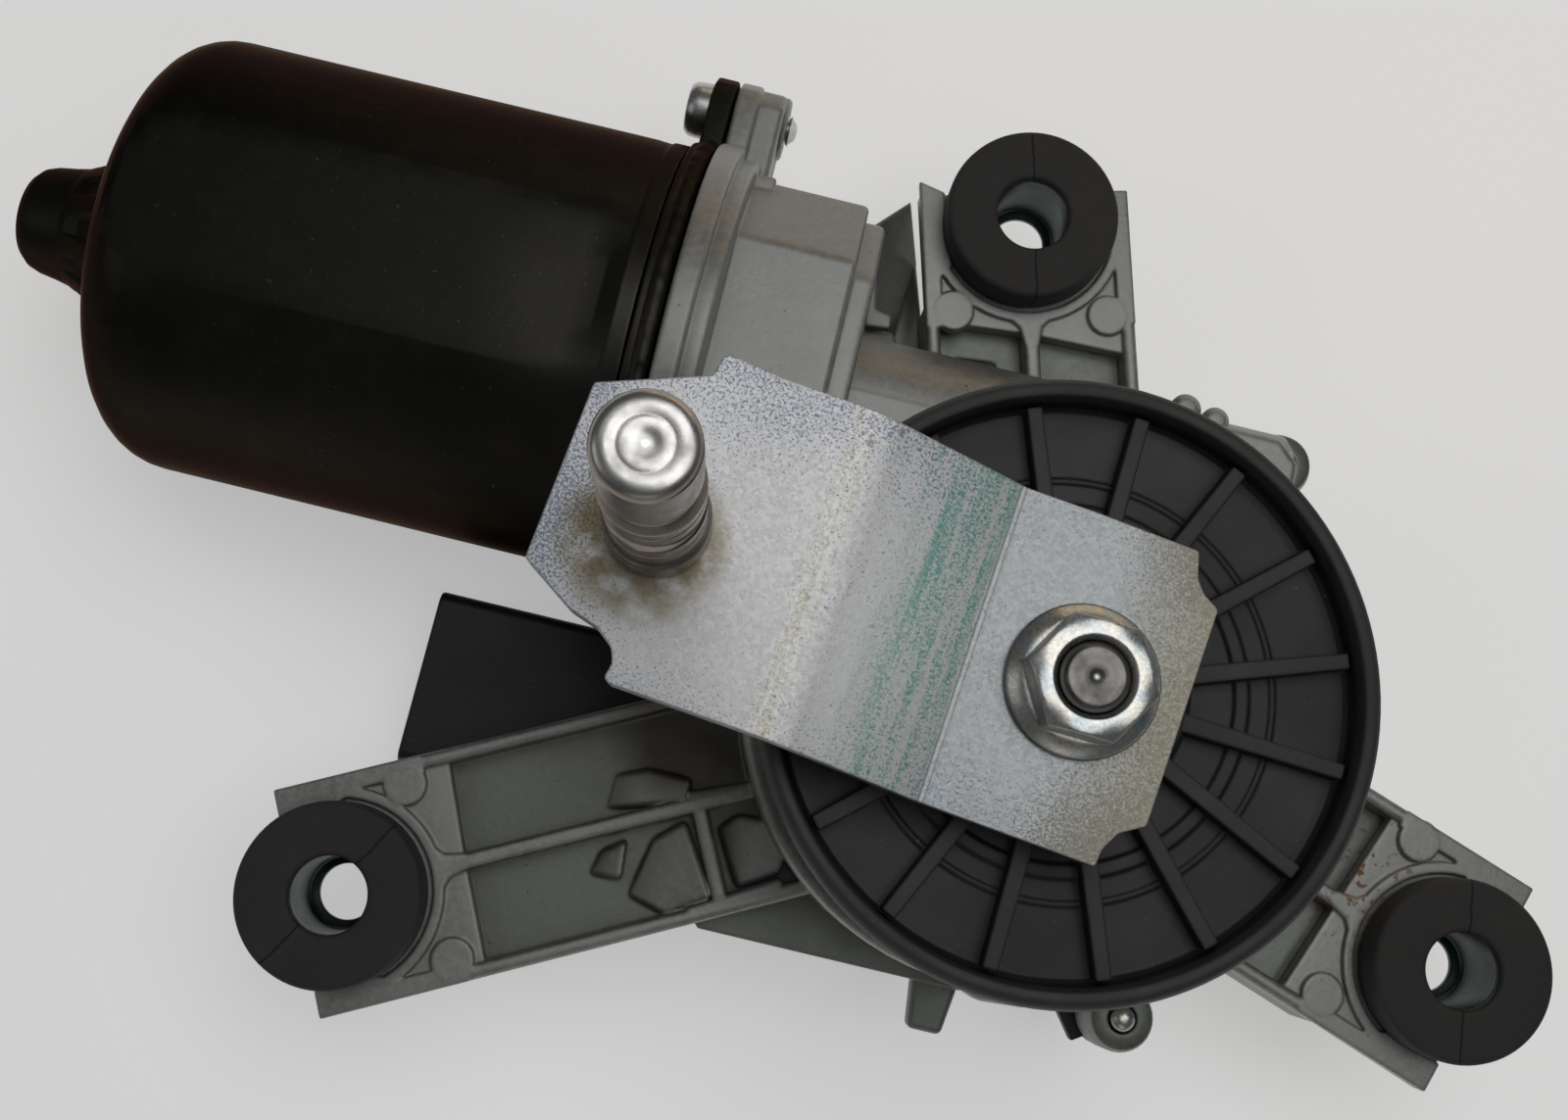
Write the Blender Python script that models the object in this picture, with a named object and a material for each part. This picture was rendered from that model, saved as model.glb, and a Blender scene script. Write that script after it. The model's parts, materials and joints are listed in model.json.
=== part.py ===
"""Windshield wiper gear motor with its crank arm, as separate solids.

Z runs up along the output shaft; the centre of the shaft's flat end face is the origin.
X runs along the motor axis, away from the can.  All driving sizes below are millimetres.
"""
import math

import bmesh
import bpy

MM = 0.001
GAP = 0.3                       # clearance between touching pieces

# output shaft, nut and crank
NUT_TOP = -0.5
NUT_BOTTOM = -7.7
HEX_R = 7.6                     # over the corners of the nut
CRANK_TOP = -8.0
CRANK_THICK = 4.0
CRANK_JOG = 5.0
CRANK_ANGLE = 173.9             # plan direction from the shaft to the crank pin
CRANK_REACH = 51.0
BEND_A = 12.9
BEND_B = 31.8

# motor axis
AXIS_Y = 36.8
AXIS_Z = -55.7
CAN_R = 31.5
CAN_MOUTH_X = -62.0
CAN_END_X = -135.0
FLANGE_X = -58.0
EARS = (0.0, 140.0)             # directions of the two screw ears round the motor axis
EAR_R = 39.9

# gearing
MODULE = 1.25
WHEEL_TEETH = 50
PITCH = math.pi * MODULE
WHEEL_PITCH_R = MODULE * WHEEL_TEETH / 2
WORM_PITCH_R = AXIS_Y - WHEEL_PITCH_R

# housing levels
TOP_Z = -44.2
ROOF_Z = -47.2
RIM_Z = -65.7
TOWER_TOP = -20.7
PAD_TOP = -53.7
PAD_BOTTOM = -57.3
SLAB_TOP = -58.2
SLAB_BOTTOM = -61.4
SKIRT_BOTTOM = -65.2
LEDGE_Z = -58.5                 # where the chamber is left low, beside the tunnel and the long leg

# grommets
GROMMET_TOP = -47.7
GROMMET_R = 12.5
# angle of the leg, sideways offset of its centre line, distance of the eye along it, width
LEGS = (
    (105.0, -6.2, 70.9, 31.0),
    (207.2, 2.3, 96.1, 31.5),
    (341.0, 2.0, 70.3, 32.5),
)
# screws of the gear cover: place of the boss and level of the screw's tip; the low one ends under the long leg
BOSSES = ((32.6, 45.3, -56.4), (25.2, -38.2, -56.4), (-30.5, -33.5, -59.8), (41.0, 3.0, -56.4),
          (-41.5, 5.0, -56.4))

SHIELD_R = 37.2
SHIELD_TOP = -12.7
RIB_COUNT = 16
RIB_PHASE = 18.7

FLOOR_Z = AXIS_Z - CAN_R        # lowest point of the can

PALETTE = {
    "black_steel": ((0.02, 0.02, 0.022), 0.38, 0.6),
    "cast_alloy": ((0.55, 0.56, 0.56), 0.45, 0.9),
    "zinc_plate": ((0.70, 0.72, 0.74), 0.25, 1.0),
    "steel": ((0.45, 0.45, 0.46), 0.30, 1.0),
    "black_plastic": ((0.035, 0.035, 0.037), 0.55, 0.0),
    "rubber": ((0.03, 0.03, 0.032), 0.80, 0.0),
    "nylon": ((0.85, 0.83, 0.76), 0.45, 0.0),
    "bronze": ((0.60, 0.42, 0.22), 0.40, 1.0),
    "copper": ((0.72, 0.33, 0.18), 0.30, 1.0),
    "ferrite": ((0.09, 0.09, 0.095), 0.60, 0.0),
    "carbon": ((0.05, 0.05, 0.055), 0.50, 0.1),
    "phenolic": ((0.30, 0.17, 0.08), 0.60, 0.0),
    "brass": ((0.75, 0.60, 0.28), 0.30, 1.0),
}


def clear_scene():
    for obj in list(bpy.data.objects):
        bpy.data.objects.remove(obj, do_unlink=True)
    for mesh in list(bpy.data.meshes):
        bpy.data.meshes.remove(mesh)
    for mat in list(bpy.data.materials):
        bpy.data.materials.remove(mat)


def material(name, kind):
    rgb, rough, metal = PALETTE[kind]
    mat = bpy.data.materials.new(name)
    mat.use_nodes = True
    shader = mat.node_tree.nodes["Principled BSDF"]
    shader.inputs["Base Color"].default_value = (rgb[0], rgb[1], rgb[2], 1.0)
    shader.inputs["Roughness"].default_value = rough
    shader.inputs["Metallic"].default_value = metal
    mat.diffuse_color = (rgb[0], rgb[1], rgb[2], 1.0)
    return mat


def finish(name, bm, kind, loc=(0, 0, 0), rot=(0, 0, 0), parent=None, round_shade=True):
    """Turn a bmesh in millimetres into a named object; kind None makes a hidden helper."""
    bmesh.ops.remove_doubles(bm, verts=bm.verts, dist=0.0005)
    bmesh.ops.recalc_face_normals(bm, faces=bm.faces)
    bmesh.ops.scale(bm, vec=(MM, MM, MM), verts=bm.verts)
    mesh = bpy.data.meshes.new(name)
    bm.to_mesh(mesh)
    bm.free()
    obj = bpy.data.objects.new(name, mesh)
    bpy.context.collection.objects.link(obj)
    obj.location = [c * MM for c in loc]
    obj.rotation_euler = [math.radians(a) for a in rot]
    if parent is not None:
        obj.parent = parent
        obj.location = [c * MM - p for c, p in zip(loc, parent.location)]
    if kind is None:
        obj.hide_render = True
        obj.display_type = 'WIRE'
        return obj
    mesh.materials.append(material("mat_" + name, kind))
    if round_shade:
        mesh.shade_smooth()
        mesh.set_sharp_from_angle(angle=math.radians(32))
    return obj


def empty(name, loc):
    obj = bpy.data.objects.new(name, None)
    bpy.context.collection.objects.link(obj)
    obj.location = [c * MM for c in loc]
    return obj


def add_lathe(bm, profile, segs=48, axis='Z', centre=(0, 0, 0), closed=False, radius=None):
    """Revolve (radius, height) points; an open profile starts and ends on the axis."""
    rings = []
    for r, h in profile:
        ring = []
        if r < 1e-6:
            steps = 1
        else:
            steps = segs
        for i in range(steps):
            a = 2 * math.pi * i / segs
            rr = r if radius is None else radius(r, h, a)
            if axis == 'Z':
                co = (rr * math.cos(a), rr * math.sin(a), h)
            else:
                co = (h, rr * math.cos(a), rr * math.sin(a))
            ring.append(bm.verts.new((co[0] + centre[0], co[1] + centre[1], co[2] + centre[2])))
        rings.append(ring)
    pairs = list(zip(rings, rings[1:]))
    if closed:
        pairs.append((rings[-1], rings[0]))
    for low, high in pairs:
        for i in range(segs):
            j = (i + 1) % segs
            corners = [low[i % len(low)], low[j % len(low)], high[j % len(high)], high[i % len(high)]]
            unique = []
            for vert in corners:
                if vert not in unique:
                    unique.append(vert)
            if len(unique) > 2:
                bm.faces.new(unique)


def add_prism(bm, outline, low, high, axis='Z'):
    """Extrude a closed outline between two levels along one axis."""
    def place(p, level):
        if axis == 'Z':
            return (p[0], p[1], level)
        if axis == 'X':
            return (level, p[0], p[1])
        return (p[0], level, p[1])
    bottom = [bm.verts.new(place(p, low)) for p in outline]
    top = [bm.verts.new(place(p, high)) for p in outline]
    bm.faces.new(bottom[::-1])
    bm.faces.new(top)
    count = len(outline)
    for i in range(count):
        j = (i + 1) % count
        bm.faces.new((bottom[i], bottom[j], top[j], top[i]))


def add_box(bm, x, y, z):
    add_prism(bm, [(x[0], y[0]), (x[1], y[0]), (x[1], y[1]), (x[0], y[1])], z[0], z[1])


def lathe(name, profile, kind, segs=48, axis='Z', closed=False, loc=(0, 0, 0), parent=None, radius=None):
    bm = bmesh.new()
    add_lathe(bm, profile, segs, axis, closed=closed, radius=radius)
    return finish(name, bm, kind, loc=loc, parent=parent)


def prism(name, outline, low, high, kind, axis='Z', loc=(0, 0, 0), parent=None, round_shade=False):
    bm = bmesh.new()
    add_prism(bm, outline, low, high, axis)
    return finish(name, bm, kind, loc=loc, parent=parent, round_shade=round_shade)


def circle(cx, cy, r, count=24, start=0.0, sweep=360.0):
    steps = count if abs(sweep - 360.0) < 1e-9 else count + 1
    out = []
    for i in range(steps):
        a = math.radians(start + sweep * i / count)
        out.append((cx + r * math.cos(a), cy + r * math.sin(a)))
    return out


def rounded_rect(cx, cy, w, h, r, count=4):
    pts = []
    for sx, sy, start in ((1, 1, 0), (-1, 1, 90), (-1, -1, 180), (1, -1, 270)):
        pts += circle(cx + sx * (w / 2 - r), cy + sy * (h / 2 - r), r, count, start, 90.0)
    return pts


def boolean(target, helper, operation):
    mod = target.modifiers.new(operation.lower() + "_" + helper.name, 'BOOLEAN')
    mod.operation = operation
    mod.solver = 'EXACT'
    mod.object = helper


def cut(target, helper):
    boolean(target, helper, 'DIFFERENCE')


def join(target, helper):
    boolean(target, helper, 'UNION')


def turned(points, angle, offset=0.0):
    """Points given as (along, across) a leg, turned to plan coordinates."""
    a = math.radians(angle)
    out = []
    for u, v in points:
        w = v + offset
        out.append((u * math.cos(a) - w * math.sin(a), u * math.sin(a) + w * math.cos(a)))
    return out


# ---------------------------------------------------------------- motor

def motor_can():
    """Deep-drawn steel can with a rounded end and a cone that holds the rear bearing."""
    x0 = CAN_MOUTH_X
    xe = CAN_END_X
    outer = [(CAN_R, x0), (CAN_R, x0 - 3), (31.0, xe + 10), (30.2, xe + 5.6), (28.2, xe + 2.6),
             (25.2, xe + 0.7), (22.0, xe), (14.8, xe - 0.4), (13.8, xe - 1.2), (11.4, xe - 5.2),
             (8.9, xe - 9.4), (8.3, xe - 10.6), (7.8, xe - 15.0), (6.7, xe - 16.9), (4.6, xe - 18.0),
             (0.0, xe - 18.3)]
    inner = [(0.0, xe - 15.9), (6.1, xe - 15.9), (6.1, xe - 5.0), (9.0, xe + 2.4), (21.5, xe + 2.4),
             (27.4, xe + 5.0), (29.0, xe + 9.5), (29.3, x0)]
    return lathe("motor_can", outer + inner, "black_steel", segs=32, axis='X', closed=True,
                 loc=(0, AXIS_Y, AXIS_Z))


def flange_outline(radius, ear_reach, ear_w):
    """Round flange with its two screw ears, in (Y, Z) about the motor axis."""
    pts = []
    half = math.degrees(math.asin(ear_w / radius))
    for k, angle in enumerate(EARS):
        ear = [(ear_reach, -ear_w * 0.72), (ear_reach + 2.0, -ear_w * 0.3), (ear_reach + 2.0, ear_w * 0.3),
               (ear_reach, ear_w * 0.72)]
        pts += turned(ear, angle)
        after = EARS[(k + 1) % len(EARS)] + (360.0 if k + 1 == len(EARS) else 0.0)
        steps = max(8, int((after - angle) / 12))
        pts += circle(0, 0, radius, steps, angle + half, after - angle - 2 * half)
    return pts


def ear_centre(k):
    """World (Y, Z) of one screw ear."""
    a = math.radians(EARS[k])
    return AXIS_Y + EAR_R * math.cos(a), AXIS_Z + EAR_R * math.sin(a)


def can_flange():
    """Black steel mouth flange of the can with its two screw ears."""
    ring = prism("can_flange", flange_outline(33.2, 42.7, 7.8), CAN_MOUTH_X + GAP, FLANGE_X - GAP,
                 "black_steel", axis='X', loc=(0, AXIS_Y, AXIS_Z))
    bore = lathe("cut_can_flange", [(0, -70), (29.3, -70), (29.3, -50), (0, -50)], None, 40, 'X',
                 loc=(0, AXIS_Y, AXIS_Z))
    cut(ring, bore)
    for k in range(len(EARS)):
        y, z = ear_centre(k)
        hole = lathe("cut_flange_hole_%d" % k, [(0, -70), (2.5, -70), (2.5, -50), (0, -50)], None, 12, 'X',
                     loc=(0, y, z))
        cut(ring, hole)


def can_bolts():
    for k in range(len(EARS)):
        y, z = ear_centre(k)
        prof = [(0, -65.4), (3.7, -65.4), (4.0, -64.9), (4.0, CAN_MOUTH_X), (2.2, CAN_MOUTH_X), (2.2, -49.6),
                (1.4, -48.7), (0, -48.7)]
        lathe("can_bolt_%d" % (k + 1), prof, "zinc_plate", 12, 'X', loc=(0, y, z))


def magnets():
    for s, tag in ((1, "upper"), (-1, "lower")):
        start = 22 if s == 1 else 202
        pts = circle(0, 0, 28.8, 14, start, 136) + circle(0, 0, 22.6, 14, start, 136)[::-1]
        prism("magnet_" + tag, pts, -120.0, -70.0, "ferrite", axis='X', loc=(0, AXIS_Y, AXIS_Z),
              round_shade=True)


def add_coil(bm, radius, pitch, turns, section, axis='X', phase=0.0, start=0.0, steps=20):
    """Sweep a section of (outward, along) points along a helix and cap both ends."""
    total = int(turns * steps)
    rows = []
    for i in range(total + 1):
        a = 2 * math.pi * i / steps + phase
        shift = start + pitch * i / steps
        row = []
        for out, along in section:
            r = radius + out
            if axis == 'X':
                co = (shift + along, r * math.cos(a), r * math.sin(a))
            else:
                co = (r * math.cos(a), r * math.sin(a), shift + along)
            row.append(bm.verts.new(co))
        rows.append(row)
    bm.faces.new(rows[0][::-1])
    bm.faces.new(rows[-1])
    n = len(section)
    for low, high in zip(rows, rows[1:]):
        for j in range(n):
            k = (j + 1) % n
            bm.faces.new((low[j], low[k], high[k], high[j]))


def armature_shaft(parent):
    """Armature shaft whose free half carries the single-start worm thread."""
    root = WORM_PITCH_R - 1.35
    tip = WORM_PITCH_R + 1.05
    prof = [(0, -150.0), (3.6, -150.0), (4.2, -149.2), (4.2, -58.6), (5.0, -58.4), (5.0, -40.0),
            (root, -39.0), (root, 16.7), (3.4, 17.0), (3.4, 24.4), (2.2, 25.6), (0, 26.0)]
    shaft = lathe("armature_shaft", prof, "steel", 24, 'X', parent=parent, loc=(0, AXIS_Y, AXIS_Z))
    bm = bmesh.new()
    section = [(-0.6, -0.29 * PITCH), (0.0, -0.235 * PITCH), (tip - root, -0.085 * PITCH),
               (tip - root, 0.085 * PITCH), (0.0, 0.235 * PITCH), (-0.6, 0.29 * PITCH)]
    turns = 7
    # a thread gap faces the wheel at X = 0, where one wheel tooth points straight at the worm
    add_coil(bm, root, PITCH, turns, section, 'X', phase=math.pi, start=-turns / 2 * PITCH)
    join(shaft, finish("add_worm_thread", bm, None, parent=parent, loc=(0, AXIS_Y, AXIS_Z)))


def armature_core(parent):
    """Slotted lamination stack: eight T-shaped teeth, each given as (radius, direction) points."""
    slots = 8
    outline = []
    for i in range(slots):
        base = 360.0 / slots * i
        for r, da in ((21.4, 2.5), (21.4, 12.5), (21.4, 22.5), (21.4, 32.5), (21.4, 42.5), (19.9, 42.5),
                      (18.9, 36.5), (12.0, 34.5), (11.2, 45.0), (12.0, 55.5), (18.9, 53.5), (19.9, 47.5)):
            a = math.radians(base + da)
            outline.append((r * math.cos(a), r * math.sin(a)))
    core = prism("armature_core", outline, -116.0, -76.0, "steel", 'X', loc=(0, AXIS_Y, AXIS_Z),
                 parent=parent)
    bore = lathe("cut_core_bore", [(0, -130), (4.5, -130), (4.5, -60), (0, -60)], None, 24, 'X',
                 loc=(0, AXIS_Y, AXIS_Z), parent=parent)
    cut(core, bore)


def windings(parent):
    """End turns of the armature winding, lobed where the coils cross."""
    def lobes(r, h, a):
        return r if r < 8 else r + 0.8 * math.cos(8 * a)
    inner = 6.0
    for tag, core_side, free_side in (("rear", -116.3, -125.5), ("front", -75.7, -67.5)):
        d = 1 if free_side > core_side else -1
        mid = (core_side + free_side) / 2
        prof = [(inner, core_side), (17.5, core_side), (18.3, mid - 1.5 * d), (16.0, free_side - 1.2 * d),
                (13.0, free_side), (inner, free_side)]
        lathe("winding_" + tag, prof, "copper", 32, 'X', closed=True, loc=(0, AXIS_Y, AXIS_Z),
              parent=parent, radius=lobes)


def commutator(parent):
    """Copper commutator with shallow grooves between its bars."""
    def bars(r, h, a):
        return r - 0.5 if r > 9 and int(round(a / (2 * math.pi) * 36)) % 3 == 0 else r
    prof = [(5.3, -66.9), (12.2, -66.9), (12.2, -64.9), (11.0, -64.6), (11.0, -50.2), (5.3, -50.2)]
    lathe("commutator", prof, "copper", 36, 'X', closed=True, loc=(0, AXIS_Y, AXIS_Z), parent=parent,
          radius=bars)


def brush_gear():
    """Insulating card with two carbon brushes, each pushed by its coil spring."""
    lathe("brush_card", [(12.2, -49.6), (18.9, -49.6), (18.9, -48.0), (12.2, -48.0)], "phenolic",
          28, 'X', closed=True, loc=(0, AXIS_Y, AXIS_Z))
    for s, tag in ((1, "upper"), (-1, "lower")):
        bm = bmesh.new()
        lo, hi = sorted((s * 11.4, s * 15.6))
        add_box(bm, (-56.4, -50.4), (lo, hi), (-2.6, 2.6))
        finish("brush_" + tag, bm, "carbon", loc=(0, AXIS_Y, AXIS_Z), round_shade=False)
        bm = bmesh.new()
        section = [(0.22 * math.cos(math.radians(90 * k)), 0.22 * math.sin(math.radians(90 * k)))
                   for k in range(4)]
        add_coil(bm, 1.7, 0.8, 3.5, section, 'Z', start=-1.4, steps=10)
        finish("brush_spring_" + tag, bm, "steel", loc=(-53.4, AXIS_Y + s * 17.55, AXIS_Z), rot=(-90 * s, 0, 0))


def bearings():
    lathe("rear_bush", [(4.5, -148.6), (5.8, -148.6), (5.8, -141.5), (4.5, -141.5)], "bronze", 20, 'X',
          closed=True, loc=(0, AXIS_Y, AXIS_Z))
    lathe("front_bush", [(5.3, -47.0), (8.2, -47.0), (8.2, -40.8), (5.3, -40.8)], "bronze", 20, 'X',
          closed=True, loc=(0, AXIS_Y, AXIS_Z))
    lathe("worm_bush", [(3.7, 17.6), (8.2, 17.6), (8.2, 24.6), (3.7, 24.6)], "bronze", 20, 'X', closed=True,
          loc=(0, AXIS_Y, AXIS_Z))
    lathe("thrust_pad", [(0, 26.3), (6.5, 26.3), (6.5, 28.3), (0, 28.3)], "nylon", 16, 'X',
          loc=(0, AXIS_Y, AXIS_Z))


# ---------------------------------------------------------------- housing

def body_outline(grow=0.0, beside_neck=-37.5):
    """Plan of the gear chamber: wheel bowl on the right, worm tunnel along the top."""
    g = grow
    pts = [(beside_neck, 45.0 + g), (beside_neck, 9.3), (-37.5 - g, 9.2), (-37.5 - g, -37.6),
           (-35.5, -39.6 - g), (2.0, -39.6 - g)]
    for k in range(0, 9):
        a = math.radians(-78 + 10.5 * k)
        pts.append(((40.0 + g) * math.cos(a), (40.0 + g) * math.sin(a)))
    pts += [(38.0 + g, 12.0), (35.0 + g, 27.0), (31.2 + g, 34.0), (31.2 + g, 42.0), (28.0 + g, 45.0 + g)]
    return pts


def ledge_outlines():
    """Plans left low: outside the round chamber wall by the long leg, and behind the worm tunnel."""
    corner = circle(0, 0, 38.0, 12, 190, 76) + [(-3.0, -43.0), (-42.0, -43.0), (-42.0, -6.6)]
    behind = [(-36.6, AXIS_Y + 0.6), (7.0, AXIS_Y + 0.6), (7.0, 52.0), (-36.6, 52.0)]
    return corner, behind


def leg(body, index):
    """One mounting leg: open fork for the grommet, ribbed arm and deep edge skirts."""
    angle, off, reach, width = LEGS[index]
    half = width / 2
    tag = str(index + 1)
    start = 36.0 if index != 0 else 41.0
    eye = reach + 5.6
    back = reach - 15.8

    def part(name, pts, low, high):
        helper = prism("add_leg%s_%s" % (tag, name), turned(pts, angle, off), low, high, None)
        join(body, helper)

    part("slab", [(start - 8, -half + 1), (reach - 10, -half + 1), (reach - 10, half - 1),
                  (start - 8, half - 1)], SLAB_BOTTOM, SLAB_TOP)
    part("fork", [(back - 3.6, -half), (eye, -half), (eye, half), (back - 3.6, half)], PAD_BOTTOM, PAD_TOP)
    part("block", [(back - 3.55, -half + 0.03), (reach - 13.4, -half + 0.03), (reach - 13.4, half - 0.03),
                   (back - 3.55, half - 0.03)], SLAB_BOTTOM - 0.05, PAD_TOP - 0.7)
    for s in (-1, 1):
        lo, hi = sorted((s * (half - 0.05), s * (half - 2.6)))
        part("rib" + ("a" if s < 0 else "b"), [(start - 6, lo), (reach - 13.6, lo), (reach - 13.6, hi),
                                                (start - 6, hi)], SKIRT_BOTTOM, PAD_TOP - 0.05)
    part("mid", [(start - 5, -1.1), (back, -1.1), (back, 1.1), (start - 5, 1.1)], SLAB_BOTTOM + 0.4,
         PAD_TOP - 0.1)
    slot = [(reach + 30, -8.9), (reach + 30, 8.9)] + circle(reach, 0, 8.9, 10, 90, 180)
    cut(body, prism("cut_leg%s_slot" % tag, turned(slot, angle, off), -75, -48, None))
    seat = circle(reach, 0, 13.0, 20)
    cut(body, prism("cut_leg%s_under" % tag, turned(seat, angle, off), -80, PAD_BOTTOM, None))


def boss_web(x, y):
    """Plan of the web that ties a screw boss to the chamber wall."""
    r = math.hypot(x, y)
    return turned([(r - 9.0, -4.3), (r + 0.5, -4.3), (r + 0.5, 4.3), (r - 9.0, 4.3)],
                  math.degrees(math.atan2(y, x)))


def gear_housing():
    """Die-cast gear housing: chamber, worm tunnel, motor neck, shaft tower and three legs."""
    body = prism("gear_housing", body_outline(), RIM_Z, TOP_Z, "cast_alloy", round_shade=True)
    for k, outline in enumerate(ledge_outlines()):
        cut(body, prism("cut_ledge_%d" % k, outline, LEDGE_Z, TOP_Z + 5, None))
    for i in range(3):
        leg(body, i)
    hw, hh, ch = 26.8, 22.0, 10.0
    neck = [(-hw, -hh + ch), (-hw + ch, -hh), (hw - ch, -hh), (hw, -hh + ch), (hw, hh - ch), (hw - ch - 2, hh),
            (-hw + ch + 2, hh), (-hw, hh - ch)]
    join(body, prism("add_neck", neck, -54.0, -35.6, None, 'X', loc=(0, AXIS_Y, AXIS_Z)))
    tunnel = circle(0, 0, 11.4, 17, -60.5, 301)
    join(body, prism("add_tunnel", tunnel, -37.0, 31.1, None, 'X', loc=(0, AXIS_Y, AXIS_Z)))
    web = [(-37.0, 40.0), (-36.9, 63.4), (-34.5, 64.2), (-29.0, 71.8), (-22.0, 50.0), (-22.0, 40.0)]
    join(body, prism("add_neck_web", web, -64.8, -58.6, None))
    join(body, prism("add_flange", flange_outline(33.0, 42.7, 7.9), FLANGE_X, -52.2, None, 'X',
                     loc=(0, AXIS_Y, AXIS_Z)))
    for k in range(len(EARS)):
        y, z = ear_centre(k)
        pad = lathe("add_ear_%d" % k, [(0, -52.6), (5.0, -52.6), (4.8, -50.3), (0, -50.3)], None, 16, 'X',
                    loc=(0, y, z))
        join(body, pad)
    tower = [(0, TOP_Z - 1), (20.0, TOP_Z - 1), (19.0, TOP_Z + 1.6), (14.4, TOP_Z + 5.0), (13.4, -33.6),
             (11.0, -33.4), (11.0, TOWER_TOP - 0.6), (10.4, TOWER_TOP), (0, TOWER_TOP)]
    join(body, lathe("add_tower", tower, None, 32))
    for k, (x, y, tip) in enumerate(BOSSES):
        join(body, lathe("add_boss_%d" % k, [(0, RIM_Z + 0.05), (5.0, RIM_Z + 0.05), (4.7, tip - 2.0),
                                             (3.9, tip - 1.2), (0, tip - 1.2)], None, 14, loc=(x, y, 0)))
        join(body, prism("add_web_%d" % k, boss_web(x, y), RIM_Z + 0.1, -58.9, None))
    join(body, prism("add_tab", [(-4.6, -38), (-3.7, -46.4), (1.2, -46.4), (2.4, -38)], -64.2, -60.4, None))
    # hollow inside
    cut(body, lathe("cut_bowl", [(0, RIM_Z - 5), (34.2, RIM_Z - 5), (34.2, ROOF_Z), (0, ROOF_Z)], None, 48))
    cut(body, lathe("cut_tunnel", [(0, -50), (8.5, -50), (8.5, 28.6), (0, 28.6)], None, 20, 'X',
                    loc=(0, AXIS_Y, AXIS_Z)))
    cut(body, lathe("cut_neck", [(0, -60), (19.4, -60), (19.4, -47.6), (0, -47.6)], None, 28, 'X',
                    loc=(0, AXIS_Y, AXIS_Z)))
    cut(body, lathe("cut_tower", [(0, ROOF_Z - 3), (8.3, ROOF_Z - 3), (8.3, TOWER_TOP + 5), (0, TOWER_TOP + 5)],
                    None, 24))
    for k, (x, y, tip) in enumerate(BOSSES):
        cut(body, lathe("cut_boss_%d" % k, [(0, RIM_Z - 5), (2.1, RIM_Z - 5), (2.1, tip + 0.6), (0, tip + 0.6)],
                        None, 10, loc=(x, y, 0)))
    for k in range(len(EARS)):
        y, z = ear_centre(k)
        cut(body, lathe("cut_ear_%d" % k, [(0, -70), (2.5, -70), (2.5, -40), (0, -40)], None, 12, 'X',
                        loc=(0, y, z)))
    return body


# ---------------------------------------------------------------- geared output

def worm_wheel(parent):
    """Helical worm wheel with a webbed disc and a hub."""
    bm = bmesh.new()
    twist = math.tan(math.atan(PITCH / (2 * math.pi * WORM_PITCH_R))) / WHEEL_PITCH_R
    tip_r = WHEEL_PITCH_R + 1.05
    root_r = WHEEL_PITCH_R - 1.35
    half = 5.0
    n = WHEEL_TEETH
    teeth = []
    for z in (half, 0.0, -half):
        loop = []
        for i in range(n):
            mid = math.radians(90.0 + 360.0 / n * i) + twist * z
            for r, w in ((root_r, -0.92), (tip_r, -0.33), (tip_r, 0.33), (root_r, 0.92)):
                a = mid + w / r
                loop.append(bm.verts.new((r * math.cos(a), r * math.sin(a), AXIS_Z + z)))
        teeth.append(loop)
    m = 4 * n
    for low, high in zip(teeth, teeth[1:]):
        for i in range(m):
            j = (i + 1) % m
            bm.faces.new((low[i], low[j], high[j], high[i]))

    def circle_loop(r, z, twist_z):
        loop = []
        for i in range(n):
            a = math.radians(90.0 + 360.0 / n * (i - 0.5)) + twist * twist_z
            loop.append(bm.verts.new((r * math.cos(a), r * math.sin(a), z)))
        return loop

    rim = 27.0
    loops = [circle_loop(rim, AXIS_Z + half, half)]
    for r, z in ((rim - 1.0, AXIS_Z + 2.0), (9.6, AXIS_Z + 2.0), (9.3, -49.6), (5.5, -49.6), (5.5, -61.6),
                 (9.3, -61.6), (9.6, AXIS_Z - 2.0), (rim - 1.0, AXIS_Z - 2.0)):
        loops.append(circle_loop(r, z, 0.0))
    loops.append(circle_loop(rim, AXIS_Z - half, -half))
    for i in range(n):
        j = (i + 1) % n
        k = 4 * i
        for loop, ring in ((teeth[0], loops[0]), (teeth[-1], loops[-1])):
            bm.faces.new((ring[i], loop[k], loop[k + 1], loop[k + 2], loop[k + 3], ring[j]))
            bm.faces.new((ring[j], loop[k + 3], loop[(k + 4) % m]))
        for low, high in zip(loops, loops[1:]):
            bm.faces.new((low[i], low[j], high[j], high[i]))
    finish("worm_wheel", bm, "nylon", parent=parent, round_shade=True)


def output_shaft(parent):
    prof = [(0, 0), (3.3, 0), (4.0, -0.8), (4.0, -8.3), (4.7, -9.0), (4.7, -12.1), (6.0, -12.4), (6.0, -18.4),
            (5.3, -18.5), (5.3, -19.8), (6.0, -19.9), (6.0, -47.0), (5.2, -47.2), (5.2, -62.6), (4.4, -63.4),
            (0, -63.4)]
    lathe("output_shaft", prof, "steel", 24, parent=parent)


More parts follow.
